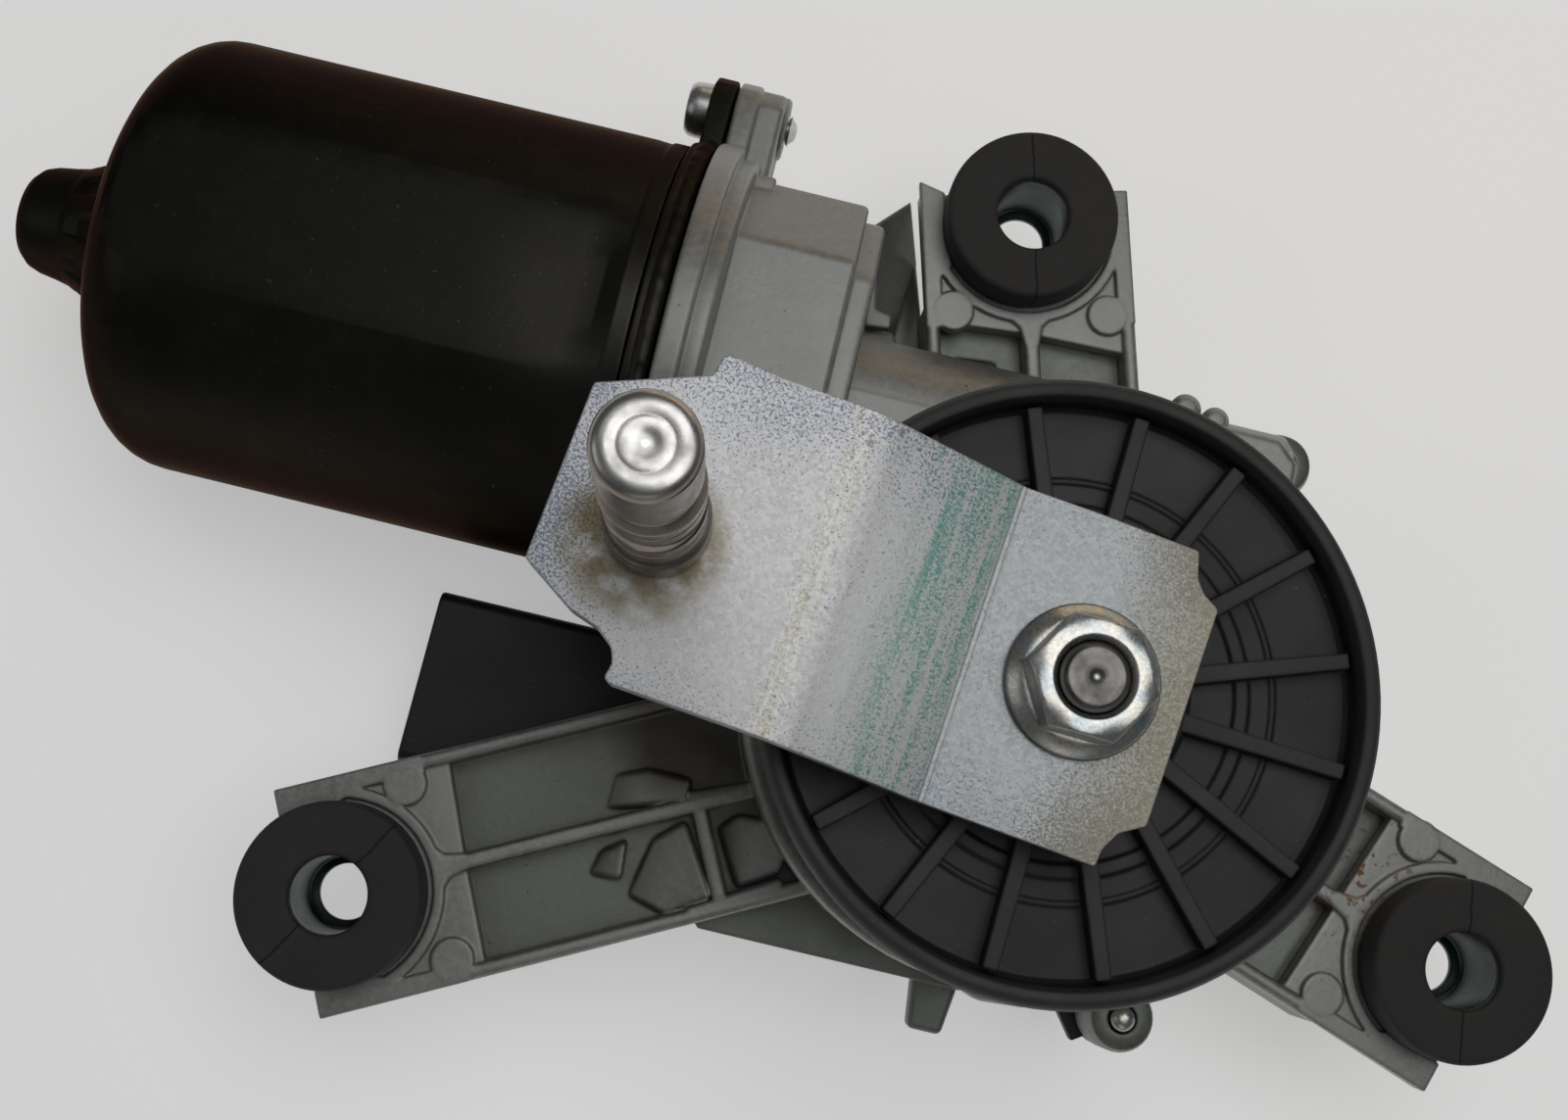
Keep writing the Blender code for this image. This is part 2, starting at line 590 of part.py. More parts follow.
def shaft_hardware(parent):
    """Bush, seal, washers and clip around the output shaft."""
    lathe("output_bush", [(6.3, -46.6), (8.0, -46.6), (8.0, -25.2), (6.3, -25.2)], "bronze", 24, closed=True)
    lathe("shaft_seal", [(6.3, -24.9), (8.0, -24.9), (8.0, -21.0), (7.2, -21.0), (6.3, -22.2)], "rubber", 24,
          closed=True)
    lathe("thrust_washer", [(6.3, -49.2), (10.5, -49.2), (10.5, -47.6), (6.3, -47.6)], "phenolic", 24,
          closed=True)
    lathe("spring_washer", [(6.3, -20.4), (8.6, -20.4), (8.6, -20.0), (6.3, -20.0)], "steel", 24, closed=True)
    outer = circle(0, 0, 8.2, 20, 28, 304)
    inner = circle(0, 0, 5.6, 20, 28, 304)[::-1]
    prism("retaining_clip", outer + inner, -19.5, -18.7, "steel", parent=parent, round_shade=True)
    prof = [(10.0, -61.9), (25.6, -61.9), (25.6, -61.1), (10.0, -61.1)]
    lathe("park_disc", prof, "brass", 32, closed=True, parent=parent)


def rain_shield():
    """Ribbed plastic dish clipped round the shaft tower."""
    prof = [(11.3, -33.0), (13.3, -33.0), (13.3, -20.0), (SHIELD_R - 2.2, -19.2), (SHIELD_R - 2.0, -23.5),
            (SHIELD_R - 0.6, -23.5), (SHIELD_R, -15.0), (SHIELD_R - 0.2, -13.3), (SHIELD_R - 0.9, SHIELD_TOP),
            (SHIELD_R - 1.6, -13.3), (SHIELD_R - 2.0, -17.6), (12.6, -17.6), (11.3, -18.2)]
    shield = lathe("rain_shield", prof, "black_plastic", 48, closed=True)
    bm = bmesh.new()
    for i in range(RIB_COUNT):
        a = math.radians(RIB_PHASE + 360.0 / RIB_COUNT * i)
        c, s = math.cos(a), math.sin(a)
        pts = []
        for r, w in ((14.4, -1.0), (34.6, -1.0), (34.6, 1.0), (14.4, 1.0)):
            pts.append((r * c - w * s, r * s + w * c))
        add_prism(bm, pts, -18.2, -14.6)
    join(shield, finish("add_shield_ribs", bm, None))


def crank_arm(parent):
    """Joggled steel plate; both ends are level, the pin end sits higher."""
    pts = [(-8.4, -19.1), (4.0, -19.4), (BEND_A, -19.4), (BEND_B, -20.7), (43.8, -20.7), (50.0, -21.2),
           (50.8, -20.6), (51.0, -18.3), (63.4, -12.9), (63.6, 8.4), (57.0, 12.1), (53.5, 13.0),
           (51.2, 14.6), (50.5, 16.1), (50.8, 17.9), (50.2, 18.4), (BEND_B, 18.4), (BEND_A, 19.0),
           (-7.8, 19.2), (-8.0, 17.1), (-9.2, 14.8), (-12.0, 13.0), (-12.5, -13.3), (-10.4, -14.5),
           (-9.2, -16.0)]

    def level(u):
        t = min(1.0, max(0.0, (u - BEND_A) / (BEND_B - BEND_A)))
        return CRANK_TOP + CRANK_JOG * t

    bm = bmesh.new()
    top = [bm.verts.new((u, v, level(u))) for u, v in pts]
    low = [bm.verts.new((u, v, level(u) - CRANK_THICK)) for u, v in pts]
    for loop in (top, low):
        bm.faces.new([loop[i] for i in (17, 18, 19, 20, 21, 22, 23, 24, 0, 1, 2)])
        bm.faces.new([loop[i] for i in (16, 17, 2, 3)])
        bm.faces.new([loop[i] for i in range(3, 17)])
    for i in range(len(pts)):
        j = (i + 1) % len(pts)
        bm.faces.new((top[i], top[j], low[j], low[i]))
    arm = finish("crank_arm", bm, "zinc_plate", rot=(0, 0, CRANK_ANGLE), parent=parent, round_shade=True)
    cut(arm, lathe("cut_crank_seat", [(0, -20), (5.0, -20), (5.0, 0), (0, 0)], None, 24, parent=parent))
    a = math.radians(CRANK_ANGLE)
    px, py = CRANK_REACH * math.cos(a), CRANK_REACH * math.sin(a)
    cut(arm, lathe("cut_pin_seat", [(0, -20), (4.4, -20), (4.4, 5), (0, 5)], None, 20, loc=(px, py, 0),
                   parent=parent))
    base = CRANK_TOP + CRANK_JOG
    z = base + GAP
    prof = [(0, base - CRANK_THICK - 1.6), (5.4, base - CRANK_THICK - 1.6), (5.9, base - CRANK_THICK - GAP),
            (4.1, base - CRANK_THICK - GAP), (4.1, z), (6.05, z), (6.05, z + 6.0), (5.5, z + 7.0),
            (5.5, z + 14.0), (4.9, z + 14.8), (4.9, z + 17.5), (5.5, z + 18.4), (5.5, z + 24.0),
            (4.6, z + 25.0), (4.6, z + 28.0), (5.2, z + 29.0), (5.2, z + 39.0), (3.9, z + 40.4), (0, z + 40.4)]
    lathe("crank_pin", prof, "steel", 20, loc=(px, py, 0), parent=parent)


def crank_nut(parent):
    """Hexagon nut with its round flange; the rings at HEX_R are drawn in to the six flats and their chamfer."""
    prof = [(4.3, NUT_BOTTOM), (8.95, NUT_BOTTOM), (8.95, -6.7), (HEX_R, -5.9), (HEX_R, -1.3), (HEX_R, NUT_TOP),
            (4.7, NUT_TOP), (4.3, -1.0)]

    def hexagon(r, h, a):
        if r != HEX_R:
            return r
        step = math.radians(60)
        flat = 6.5 / math.cos(a % step - step / 2)
        chamfer = 6.1 + (NUT_TOP - h) * 2.0
        return min(flat, chamfer)

    nut = lathe("crank_nut", prof, "zinc_plate", 36, closed=True, parent=parent, radius=hexagon)
    nut.rotation_euler = (0, 0, math.radians(57.8))


# ---------------------------------------------------------------- mounts and cover

def eye_position(index):
    angle, off, reach, width = LEGS[index]
    return turned([(reach, 0.0)], angle, off)[0]


def grommets():
    for i in range(3):
        x, y = eye_position(i)
        t = GROMMET_TOP
        prof = [(6.9, t - 13.4), (11.9, t - 13.4), (12.5, t - 12.8), (12.5, PAD_BOTTOM - GAP - 0.2),
                (12.1, PAD_BOTTOM - GAP), (8.6, PAD_BOTTOM - GAP), (8.6, PAD_TOP + GAP), (12.2, PAD_TOP + GAP),
                (12.5, PAD_TOP + GAP + 0.4), (12.5, t - 0.5), (12.1, t), (5.6, t), (5.2, t - 0.5),
                (5.2, t - 0.9), (6.9, t - 0.9)]
        lathe("grommet_%d" % (i + 1), prof, "rubber", 20, closed=True, loc=(x, y, 0))
        sleeve = [(3.9, t - 13.9), (6.6, t - 13.9), (6.6, t - 1.2), (5.15, t - 1.2), (5.15, t - 12.6),
                  (3.9, t - 13.0)]
        lathe("sleeve_%d" % (i + 1), sleeve, "zinc_plate", 16, closed=True, loc=(x, y, 0))


def gear_cover():
    """Black plastic cover with its switch chamber and the connector socket."""
    top = RIM_Z - 0.5
    cover = prism("gear_cover", body_outline(-0.4, -35.2), top - 2.6, top, "black_plastic", round_shade=True)
    for k, (x, y, tip) in enumerate(BOSSES):
        join(cover, lathe("add_cover_ear_%d" % k, [(0, top - 2.5), (5.0, top - 2.5), (5.0, top - 0.03),
                                                   (0, top - 0.03)], None, 14, loc=(x, y, 0)))
        join(cover, prism("add_cover_web_%d" % k, boss_web(x, y), top - 2.45, top - 0.05, None))
    join(cover, prism("add_cover_tip", [(16.0, -37.0), (20.8, -43.4), (24.5, -41.0), (24.0, -36.0)],
                      top - 2.4, top - 0.06, None))
    join(cover, lathe("add_chamber", [(0, FLOOR_Z), (26.4, FLOOR_Z), (28.0, FLOOR_Z + 1.6), (28.4, top - 1.0),
                                      (0, top - 1.0)], None, 40))
    join(cover, prism("add_connector", rounded_rect(-13.9, -77.2, 26.0, 17.2, 1.6, 2), -84.3, -20.0, None, 'X'))
    cut(cover, lathe("cut_chamber", [(0, FLOOR_Z + 2.4), (25.8, FLOOR_Z + 2.4), (25.8, top + 5), (0, top + 5)],
                     None, 40))
    cut(cover, prism("cut_socket", rounded_rect(-13.9, -77.2, 21.4, 12.6, 1.0, 2), -90.0, -66.0, None, 'X'))
    bm = bmesh.new()
    for k in range(5):
        y = -13.9 + (k - 2) * 4.0
        add_box(bm, (-67.0, -61.0), (y - 1.4, y + 1.4), (-77.2 - 0.7, -77.2 + 0.7))
    cut(cover, finish("cut_terminal_slots", bm, None))
    for k, (x, y, tip) in enumerate(BOSSES):
        cut(cover, lathe("cut_cover_hole_%d" % k, [(0, -80), (2.4, -80), (2.4, -60), (0, -60)], None, 10,
                         loc=(x, y, 0)))
        prof = [(0, top - 5.2), (3.6, top - 5.2), (4.1, top - 4.5), (4.1, top - 2.9), (1.8, top - 2.9),
                (1.8, tip - 1.0), (1.1, tip - 0.2), (0, tip)]
        lathe("cover_screw_%d" % (k + 1), prof, "zinc_plate", 12, loc=(x, y, 0))
    for k in range(5):
        y = -13.9 + (k - 2) * 4.0
        bm = bmesh.new()
        add_box(bm, (-79.0, -61.4), (y - 1.1, y + 1.1), (-77.2 - 0.4, -77.2 + 0.4))
        finish("terminal_%d" % (k + 1), bm, "brass", round_shade=False)


def park_switch():
    """Fixed contact board and its three sprung contact fingers under the park disc."""
    lathe("contact_board", [(7.0, -72.0), (25.4, -72.0), (25.4, -70.4), (7.0, -70.4)], "phenolic", 32,
          closed=True)
    for k, r in enumerate((13.0, 17.5, 22.0)):
        bm = bmesh.new()
        side = [(0.0, -70.1), (4.0, -70.1), (12.2, -63.5), (14.0, -62.9), (16.0, -63.5), (16.0, -63.0),
                (14.0, -62.4), (12.0, -63.0), (3.8, -69.6), (0.0, -69.6)]
        add_prism(bm, side, -r - 1.0, -r + 1.0, 'Y')
        finish("park_finger_%d" % (k + 1), bm, "brass", loc=(-9.0, 0, 0), round_shade=False)


def build():
    clear_scene()
    motor_can()
    can_flange()
    can_bolts()
    magnets()
    armature = empty("armature_axis", (0, AXIS_Y, AXIS_Z))
    output = empty("output_axis", (0, 0, 0))
    armature_shaft(armature)
    armature_core(armature)
    windings(armature)
    commutator(armature)
    brush_gear()
    bearings()
    gear_housing()
    worm_wheel(output)
    output_shaft(output)
    shaft_hardware(output)
    rain_shield()
    crank_arm(output)
    crank_nut(output)
    grommets()
    gear_cover()
    park_switch()


build()
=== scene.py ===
"""Looks of a windshield wiper gear motor with its crank arm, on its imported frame.

All making is done in millimetres, with Z up the output shaft and X along the motor; `finish_piece` turns the
result into metres at the very end, so every piece sits at the origin with its place in its mesh.
"""

import json
import math

import bmesh
import bpy
from mathutils import Matrix, Vector

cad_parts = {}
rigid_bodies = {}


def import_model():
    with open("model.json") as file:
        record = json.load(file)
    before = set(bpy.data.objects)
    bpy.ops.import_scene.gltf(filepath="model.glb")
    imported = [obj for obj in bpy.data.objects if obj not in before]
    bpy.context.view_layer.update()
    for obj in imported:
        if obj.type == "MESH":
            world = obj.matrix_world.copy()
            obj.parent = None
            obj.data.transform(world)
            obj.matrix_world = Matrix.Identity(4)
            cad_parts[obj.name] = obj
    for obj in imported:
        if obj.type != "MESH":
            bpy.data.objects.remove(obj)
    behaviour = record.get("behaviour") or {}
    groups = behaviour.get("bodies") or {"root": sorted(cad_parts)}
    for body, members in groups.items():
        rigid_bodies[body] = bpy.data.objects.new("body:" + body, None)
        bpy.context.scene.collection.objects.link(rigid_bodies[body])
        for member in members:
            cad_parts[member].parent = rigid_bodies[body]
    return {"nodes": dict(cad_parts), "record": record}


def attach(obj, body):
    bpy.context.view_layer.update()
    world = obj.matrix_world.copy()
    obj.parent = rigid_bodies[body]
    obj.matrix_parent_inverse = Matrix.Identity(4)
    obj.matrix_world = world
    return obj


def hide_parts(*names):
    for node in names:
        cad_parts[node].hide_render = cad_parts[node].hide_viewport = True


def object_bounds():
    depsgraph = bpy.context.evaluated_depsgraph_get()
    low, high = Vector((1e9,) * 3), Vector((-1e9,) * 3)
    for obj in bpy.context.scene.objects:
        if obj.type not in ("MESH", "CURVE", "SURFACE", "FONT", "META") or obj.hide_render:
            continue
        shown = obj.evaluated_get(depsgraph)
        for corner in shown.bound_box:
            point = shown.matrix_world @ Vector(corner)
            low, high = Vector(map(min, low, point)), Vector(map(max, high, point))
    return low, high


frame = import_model()
cad_low, cad_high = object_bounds()

MM = 0.001
# motor: its axis, the can from mouth to closed end, the two screw ears of the flange
AXIS_Y, AXIS_Z = 36.8, -55.7
MOTOR = (0, AXIS_Y, AXIS_Z)
CAN_R = 31.5
CAN_MOUTH = -62.0
CAN_END = -135.0
EARS = (0.0, 140.0)
EAR_R = 39.9
EAR_BORE = 2.5
# housing levels: chamber top, joint with the cover, then the legs from their pads down
TOP_Z = -44.2
RIM_Z = -65.7
PAD_TOP = -53.7
PAD_BOTTOM = -57.3
SLAB_TOP = -58.2
SLAB_BOTTOM = -61.4
SKIRT_BOTTOM = -65.2
GROMMET_TOP = -47.7
# gear cover: its seat and its floor, level with the can's lowest side; middle of its plug socket in Y and Z
COVER_TOP = RIM_Z - 0.5
FLOOR_Z = AXIS_Z - CAN_R
SOCKET_Y, SOCKET_Z = -13.9, -77.2
# rain shield: number of spokes and direction of the first
SPOKES, SPOKE_PHASE = 16, 18.7
# crank: direction, distance of the pin, level of its top at the shaft, thickness, rise to the pin end
CRANK_ANGLE = 173.9
CRANK_REACH = 51.0
CRANK_TOP = -8.0
CRANK_THICK = 4.0
CRANK_RISE = 5.0
# its bends: distance along it, half the length of the curve, which way it turns
CRANK_BENDS = ((12.9, 0.8, 1.0), (31.8, 3.0, -1.0))
# screws: distance between two turns of thread
THREAD = 0.7
# direction of a leg, sideways shift of its middle, distance of its eye, width
LEGS = ((105.0, -6.2, 70.9, 31.0), (207.2, 2.3, 96.1, 31.5), (341.0, 2.0, 70.3, 32.5))
LEDGE_Z = -58.5                 # where the chamber is left low, beside the tunnel and the long leg
# cover screws: place of the boss and level of the screw's tip; the low one ends under the long leg
BOSSES = ((32.6, 45.3, -56.4), (25.2, -38.2, -56.4), (-30.5, -33.5, -59.8), (41.0, 3.0, -56.4),
          (-41.5, 5.0, -56.4))
REPLACED = set()                  # CAD nodes that a new piece has taken the place of


# ------------------------------------------------------------------ outlines

def around(cx, cy, r, count=24, start=0.0, sweep=360.0):
    """Points round a circle, or along an arc of it."""
    steps = count if abs(sweep - 360.0) < 1e-9 else count + 1
    out = []
    for i in range(steps):
        a = math.radians(start + sweep * i / count)
        out.append((cx + r * math.cos(a), cy + r * math.sin(a)))
    return out


def rounded_box(cx, cy, w, h, r, count=5):
    """A rectangle with round corners."""
    pts = []
    for sx, sy, start in ((1, 1, 0), (-1, 1, 90), (-1, -1, 180), (1, -1, 270)):
        pts += around(cx + sx * (w / 2 - r), cy + sy * (h / 2 - r), r, count, start, 90.0)
    return pts


def swung(points, angle, shift=0.0):
    """Points given as (along, across) a direction, turned to plan coordinates."""
    a = math.radians(angle)
    out = []
    for u, v in points:
        w = v + shift
        out.append((u * math.cos(a) - w * math.sin(a), u * math.sin(a) + w * math.cos(a)))
    return out


def on_leg(leg, points):
    """Points given along and across a leg, in plan coordinates."""
    angle, shift = LEGS[leg][:2]
    return swung(points, angle, shift)


def star(middle, swing):
    """A six-lobed screw socket."""
    pts = []
    for a in range(0, 360, 10):
        r = middle + swing * math.cos(math.radians(6 * a))
        pts.append((r * math.cos(math.radians(a)), r * math.sin(math.radians(a))))
    return pts


# ------------------------------------------------------------------ making

def tidy(bm):
    """Weld points that coincide and turn every face outwards."""
    bmesh.ops.remove_doubles(bm, verts=bm.verts, dist=0.0005)
    bmesh.ops.recalc_face_normals(bm, faces=bm.faces)


def ease(bm, width, angle=30.0, steps=2, keep=None):
    """Round every edge that turns by more than an angle."""
    bm.normal_update()
    edges = []
    for edge in bm.edges:
        if edge.is_manifold and edge.calc_face_angle() > math.radians(angle):
            if keep is None or keep(edge):
                edges.append(edge)
    if edges:
        bmesh.ops.bevel(bm, geom=edges, offset=width, offset_type='OFFSET', segments=steps, profile=0.5,
                        affect='EDGES', clamp_overlap=True, material=-1)


def place(bm, axis='Z', centre=(0, 0, 0)):
    """Lay a shape made along Z along X if asked, then move it."""
    if axis == 'X':
        turn = Matrix(((0, 0, 1), (1, 0, 0), (0, 1, 0))).to_4x4()
        bmesh.ops.transform(bm, matrix=turn, verts=bm.verts)
    bmesh.ops.translate(bm, vec=centre, verts=bm.verts)


def turned(profile, segs=64, axis='Z', centre=(0, 0, 0), closed=False):
    """Spin (radius, level) points into a solid."""
    bm = bmesh.new()
    verts = [bm.verts.new((r, 0.0, h)) for r, h in profile]
    edges = [bm.edges.new(pair) for pair in zip(verts, verts[1:])]
    if closed:
        edges.append(bm.edges.new((verts[-1], verts[0])))
    bmesh.ops.spin(bm, geom=verts + edges, cent=(0, 0, 0), axis=(0, 0, 1), angle=2 * math.pi, steps=segs,
                   use_merge=True, use_duplicate=False)
    tidy(bm)
    place(bm, axis, centre)
    return bm


def rod(r, low, high, segs, axis='Z', centre=(0, 0, 0)):
    """A round bar, most often the drill for a hole."""
    return turned([(0, low), (r, low), (r, high), (0, high)], segs, axis, centre)


def raised(outline, low, high, axis='Z', centre=(0, 0, 0), round_by=0.0, steps=2):
    """Raise a closed outline between two levels, and round its sharp edges."""
    bm = bmesh.new()
    face = bm.faces.new([bm.verts.new((x, y, low)) for x, y in outline])
    lifted = bmesh.ops.extrude_face_region(bm, geom=[face])
    top = [item for item in lifted["geom"] if isinstance(item, bmesh.types.BMVert)]
    bmesh.ops.translate(bm, vec=(0, 0, high - low), verts=top)
    tidy(bm)
    if round_by:
        ease(bm, round_by, 28.0, steps)
    place(bm, axis, centre)
    return bm


def block(x, y, z, round_by=0.0):
    """A box between two values on each axis."""
    bm = bmesh.new()
    bmesh.ops.create_cube(bm, size=1.0)
    bmesh.ops.scale(bm, vec=(x[1] - x[0], y[1] - y[0], z[1] - z[0]), verts=bm.verts)
    bmesh.ops.translate(bm, vec=((x[0] + x[1]) / 2, (y[0] + y[1]) / 2, (z[0] + z[1]) / 2), verts=bm.verts)
    if round_by:
        ease(bm, round_by, 28.0)
    return bm


def as_object(name, bm):
    """Turn a bmesh into an object of the scene."""
    mesh = bpy.data.meshes.new(name)
    bm.to_mesh(mesh)
    bm.free()
    obj = bpy.data.objects.new(name, mesh)
    bpy.context.scene.collection.objects.link(obj)
    return obj


def gathered(solids):
    """One bmesh that holds several solids side by side."""
    out = bmesh.new()
    for bm in solids:
        mesh = bpy.data.meshes.new("loose")
        bm.to_mesh(mesh)
        bm.free()
        out.from_mesh(mesh)
        bpy.data.meshes.remove(mesh)
    return out


def carved(base, add=(), remove=(), keep=()):
    """Weld solids onto a base, cut others out of it, keep what lies in the last, and give back one bmesh."""
    body = as_object("body", base)
    groups = []
    for operation, solids in (('UNION', add), ('DIFFERENCE', remove), ('INTERSECT', keep)):
        if not solids:
            continue
        group = bpy.data.collections.new("tools")
        bpy.context.scene.collection.children.link(group)
        for bm in solids:
            tool = as_object("tool", bm)
            bpy.context.scene.collection.objects.unlink(tool)
            group.objects.link(tool)
        mod = body.modifiers.new(operation.lower(), 'BOOLEAN')
        mod.operation = operation
        mod.solver = 'EXACT'
        mod.operand_type = 'COLLECTION'
        mod.collection = group
        groups.append(group)
    graph = bpy.context.evaluated_depsgraph_get()
    out = bmesh.new()
    out.from_mesh(body.evaluated_get(graph).to_mesh())
    for group in groups:
        for tool in list(group.objects):
            bpy.data.objects.remove(tool)
        bpy.data.collections.remove(group)
    bpy.data.objects.remove(body)
    bmesh.ops.remove_doubles(out, verts=out.verts, dist=0.002)
    return out


def finish_piece(name, bm, look, body, slot, *nodes, angle=38.0):
    """Shade a made piece, put it in metres, and let it ride in place of its plain solids."""
    bmesh.ops.scale(bm, vec=(MM, MM, MM), verts=bm.verts)
    obj = as_object(name, bm)
    obj.data.shade_smooth()
    obj.data.set_sharp_from_angle(angle=math.radians(angle))
    mod = obj.modifiers.new("flat faces stay flat", 'WEIGHTED_NORMAL')
    mod.keep_sharp = True
    mod.weight = 60
    obj.data.materials.append(look)
    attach(obj, body)
    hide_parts(*nodes)
    REPLACED.update(nodes)
    return obj


# ------------------------------------------------------------------ finishes

class Wire:
    """An output of a shader node; arithmetic on it adds Math nodes."""

    def __init__(self, finish, socket):
        self.finish = finish
        self.socket = socket

    def _math(self, operation, *values, clamp=False):
        return self.finish.node("ShaderNodeMath", {"operation": operation, "use_clamp": clamp},
                                dict(enumerate(values)))

    def __add__(self, other):
        return self._math('ADD', self, other)

    def __radd__(self, other):
        return self._math('ADD', other, self)

    def __sub__(self, other):
        return self._math('SUBTRACT', self, other)

    def __rsub__(self, other):
        return self._math('SUBTRACT', other, self)

    def __mul__(self, other):
        return self._math('MULTIPLY', self, other)

    def __rmul__(self, other):
        return self._math('MULTIPLY', other, self)

    def sine(self):
        return self._math('SINE', self)

    def size(self):
        return self._math('ABSOLUTE', self)

    def above(self, level):
        return self._math('GREATER_THAN', self, level)

    def held(self):
        """The same value kept between 0 and 1."""
        return self._math('ADD', self, 0.0, clamp=True)


class Finish:
    """One surface finish: a material with its shader and the patterns that feed it."""

    def __init__(self, name, rough=0.5, metal=0.0, specular=0.5):
        self.material = bpy.data.materials.new(name)
        self.material.use_nodes = True
        self.tree = self.material.node_tree
        self.shader = self.tree.nodes["Principled BSDF"]
        self.shader.inputs["Roughness"].default_value = rough
        self.shader.inputs["Metallic"].default_value = metal
        self.shader.inputs["Specular IOR Level"].default_value = specular
        self.here = self.node("ShaderNodeTexCoord", out="Object")

    def node(self, kind, settings=None, sockets=None, out=0):
        """Add a node: its settings first, then the values or links of its sockets."""
        made = self.tree.nodes.new(kind)
        for key, value in (settings or {}).items():
            if key == "stops":
                ramp = made.color_ramp
                while len(ramp.elements) < len(value):
                    ramp.elements.new(0.5)
                for stop, (at, colour) in zip(ramp.elements, value):
                    stop.position = at
                    stop.color = (*colour, 1.0)
            else:
                setattr(made, key, value)
        for key, value in (sockets or {}).items():
            if isinstance(value, Wire):
                self.tree.links.new(value.socket, made.inputs[key])
            elif isinstance(value, tuple) and len(value) == 3 and made.inputs[key].type == 'RGBA':
                made.inputs[key].default_value = (*value, 1.0)
            else:
                made.inputs[key].default_value = value
        return Wire(self, made.outputs[out])

    def feed(self, **sockets):
        """Link what varies to the shader; names use _ for a space."""
        for key, wire in sockets.items():
            self.tree.links.new(wire.socket, self.shader.inputs[key.replace("_", " ")])
        return self.material

    def noise(self, scale, detail=4.0, rough=0.55, at=None, distort=0.0):
        """Cloudy noise, 0 to 1."""
        return self.node("ShaderNodeTexNoise", None,
                         {"Vector": at or self.here, "Scale": scale, "Detail": detail, "Roughness": rough,
                          "Distortion": distort}, "Fac")

    def spread(self, value, low, high, to_low=0.0, to_high=1.0):
        """Stretch a value from one range to another, held at both ends."""
        return self.node("ShaderNodeMapRange", {"clamp": True},
                         {"Value": value, "From Min": low, "From Max": high, "To Min": to_low,
                          "To Max": to_high})

    def blend(self, factor, first, second):
        """The first colour where the factor is 0, the second where it is 1."""
        return self.node("ShaderNodeMix", {"data_type": 'RGBA'}, {0: factor, 6: first, 7: second}, 2)

    def vector(self, operation, first, second, out="Vector"):
        """Vector maths on two vectors."""
        return self.node("ShaderNodeVectorMath", {"operation": operation}, {0: first, 1: second}, out)

    def ramp(self, value, stops):
        """A colour picked from stops along 0 to 1."""
        return self.node("ShaderNodeValToRGB", {"stops": stops}, {"Fac": value}, "Color")

    def shifted(self, scale=(1, 1, 1), turn=(0, 0, 0)):
        """Object coordinates, turned by degrees and scaled."""
        return self.node("ShaderNodeMapping", None, {"Vector": self.here, "Scale": scale,
                                                     "Rotation": [math.radians(a) for a in turn]})

    def along(self, vector, axis):
        """One axis of a vector."""
        return self.node("ShaderNodeSeparateXYZ", None, {0: vector}, axis)

    def distance(self, spot, scale=(1, 1, 1)):
        """Distance from a spot, in metres; a scale of 0 along an axis leaves it out."""
        flat = self.vector('MULTIPLY', self.vector('SUBTRACT', self.here, spot), scale)
        return self.node("ShaderNodeVectorMath", {"operation": 'LENGTH'}, {0: flat}, "Value")

    def edges(self, radius, gain=2.0):
        """1 on corners within a radius, 0 on open faces."""
        soft = self.node("ShaderNodeBevel", {"samples": 6}, {"Radius": radius})
        face = self.node("ShaderNodeNewGeometry", None, None, "Normal")
        same = self.vector('DOT_PRODUCT', soft, face, "Value")
        return ((1.0 - same) * gain).held()

    def crevices(self, reach):
        """Ambient occlusion used as painted shade: 1 deep in a corner, 0 in the open."""
        light = self.node("ShaderNodeAmbientOcclusion", {"samples": 6, "only_local": True},
                          {"Distance": reach}, "AO")
        return (1.0 - light).held()

    def bumped(self, height, depth, strength=1.0, soft=0.0):
        """A normal from a height map of 0 to 1 that stands for a depth in metres."""
        sockets = {"Height": height, "Distance": depth, "Strength": strength}
        if soft:
            sockets["Normal"] = self.node("ShaderNodeBevel", {"samples": 6}, {"Radius": soft})
        return self.node("ShaderNodeBump", None, sockets)


def black_paint():
    """Satin black paint over drawn steel, a little dusty, rubbed along its creases, with a painted highlight
    along the creases and a painted highlight patch on the top flat.
    """
    f = Finish("satin black paint", metal=0.9, specular=0.3)
    f.shader.inputs["Specular Tint"].default_value = (0.42, 0.29, 0.17, 1.0)
    cloud = f.noise(28.0, 3.0)
    dust = f.spread(f.noise(160.0, 6.0, 0.7), 0.5, 0.8)
    # rubbed edges: partly wear, partly a painted highlight along the creases and edges
    rubbed = f.edges(0.0009, 3.0) * f.spread(f.noise(240.0, 3.0), 0.35, 0.7)
    specks = f.spread(f.noise(1500.0, 2.0), 0.70, 0.76)
    # painted highlight: a lighter patch where the top flat near the mouth catches the overhead light
    lit_flat_highlight = f.spread(f.distance((-0.070, 0.034, -0.026)) + cloud * 0.016, 0.014, 0.024, 1.0, 0.0)
    colour = f.blend(cloud, (0.0175, 0.0185, 0.0165), (0.030, 0.030, 0.026))
    colour = f.blend(lit_flat_highlight * 0.7, colour, (0.054, 0.052, 0.046))
    colour = f.blend(dust * 0.35, colour, (0.060, 0.050, 0.034))
    colour = f.blend(rubbed * 0.7, colour, (0.15, 0.135, 0.11))
    colour = f.blend(specks * 0.25, colour, (0.20, 0.19, 0.16))
    rough = f.spread(cloud, 0.3, 0.7, 0.38, 0.47) + dust * 0.10
    height = f.noise(900.0, 2.0) * 0.7 + f.noise(60.0, 2.0) * 0.3
    return f.feed(Base_Color=colour, Roughness=rough, Normal=f.bumped(height, 0.00006, 0.5, 0.0004))


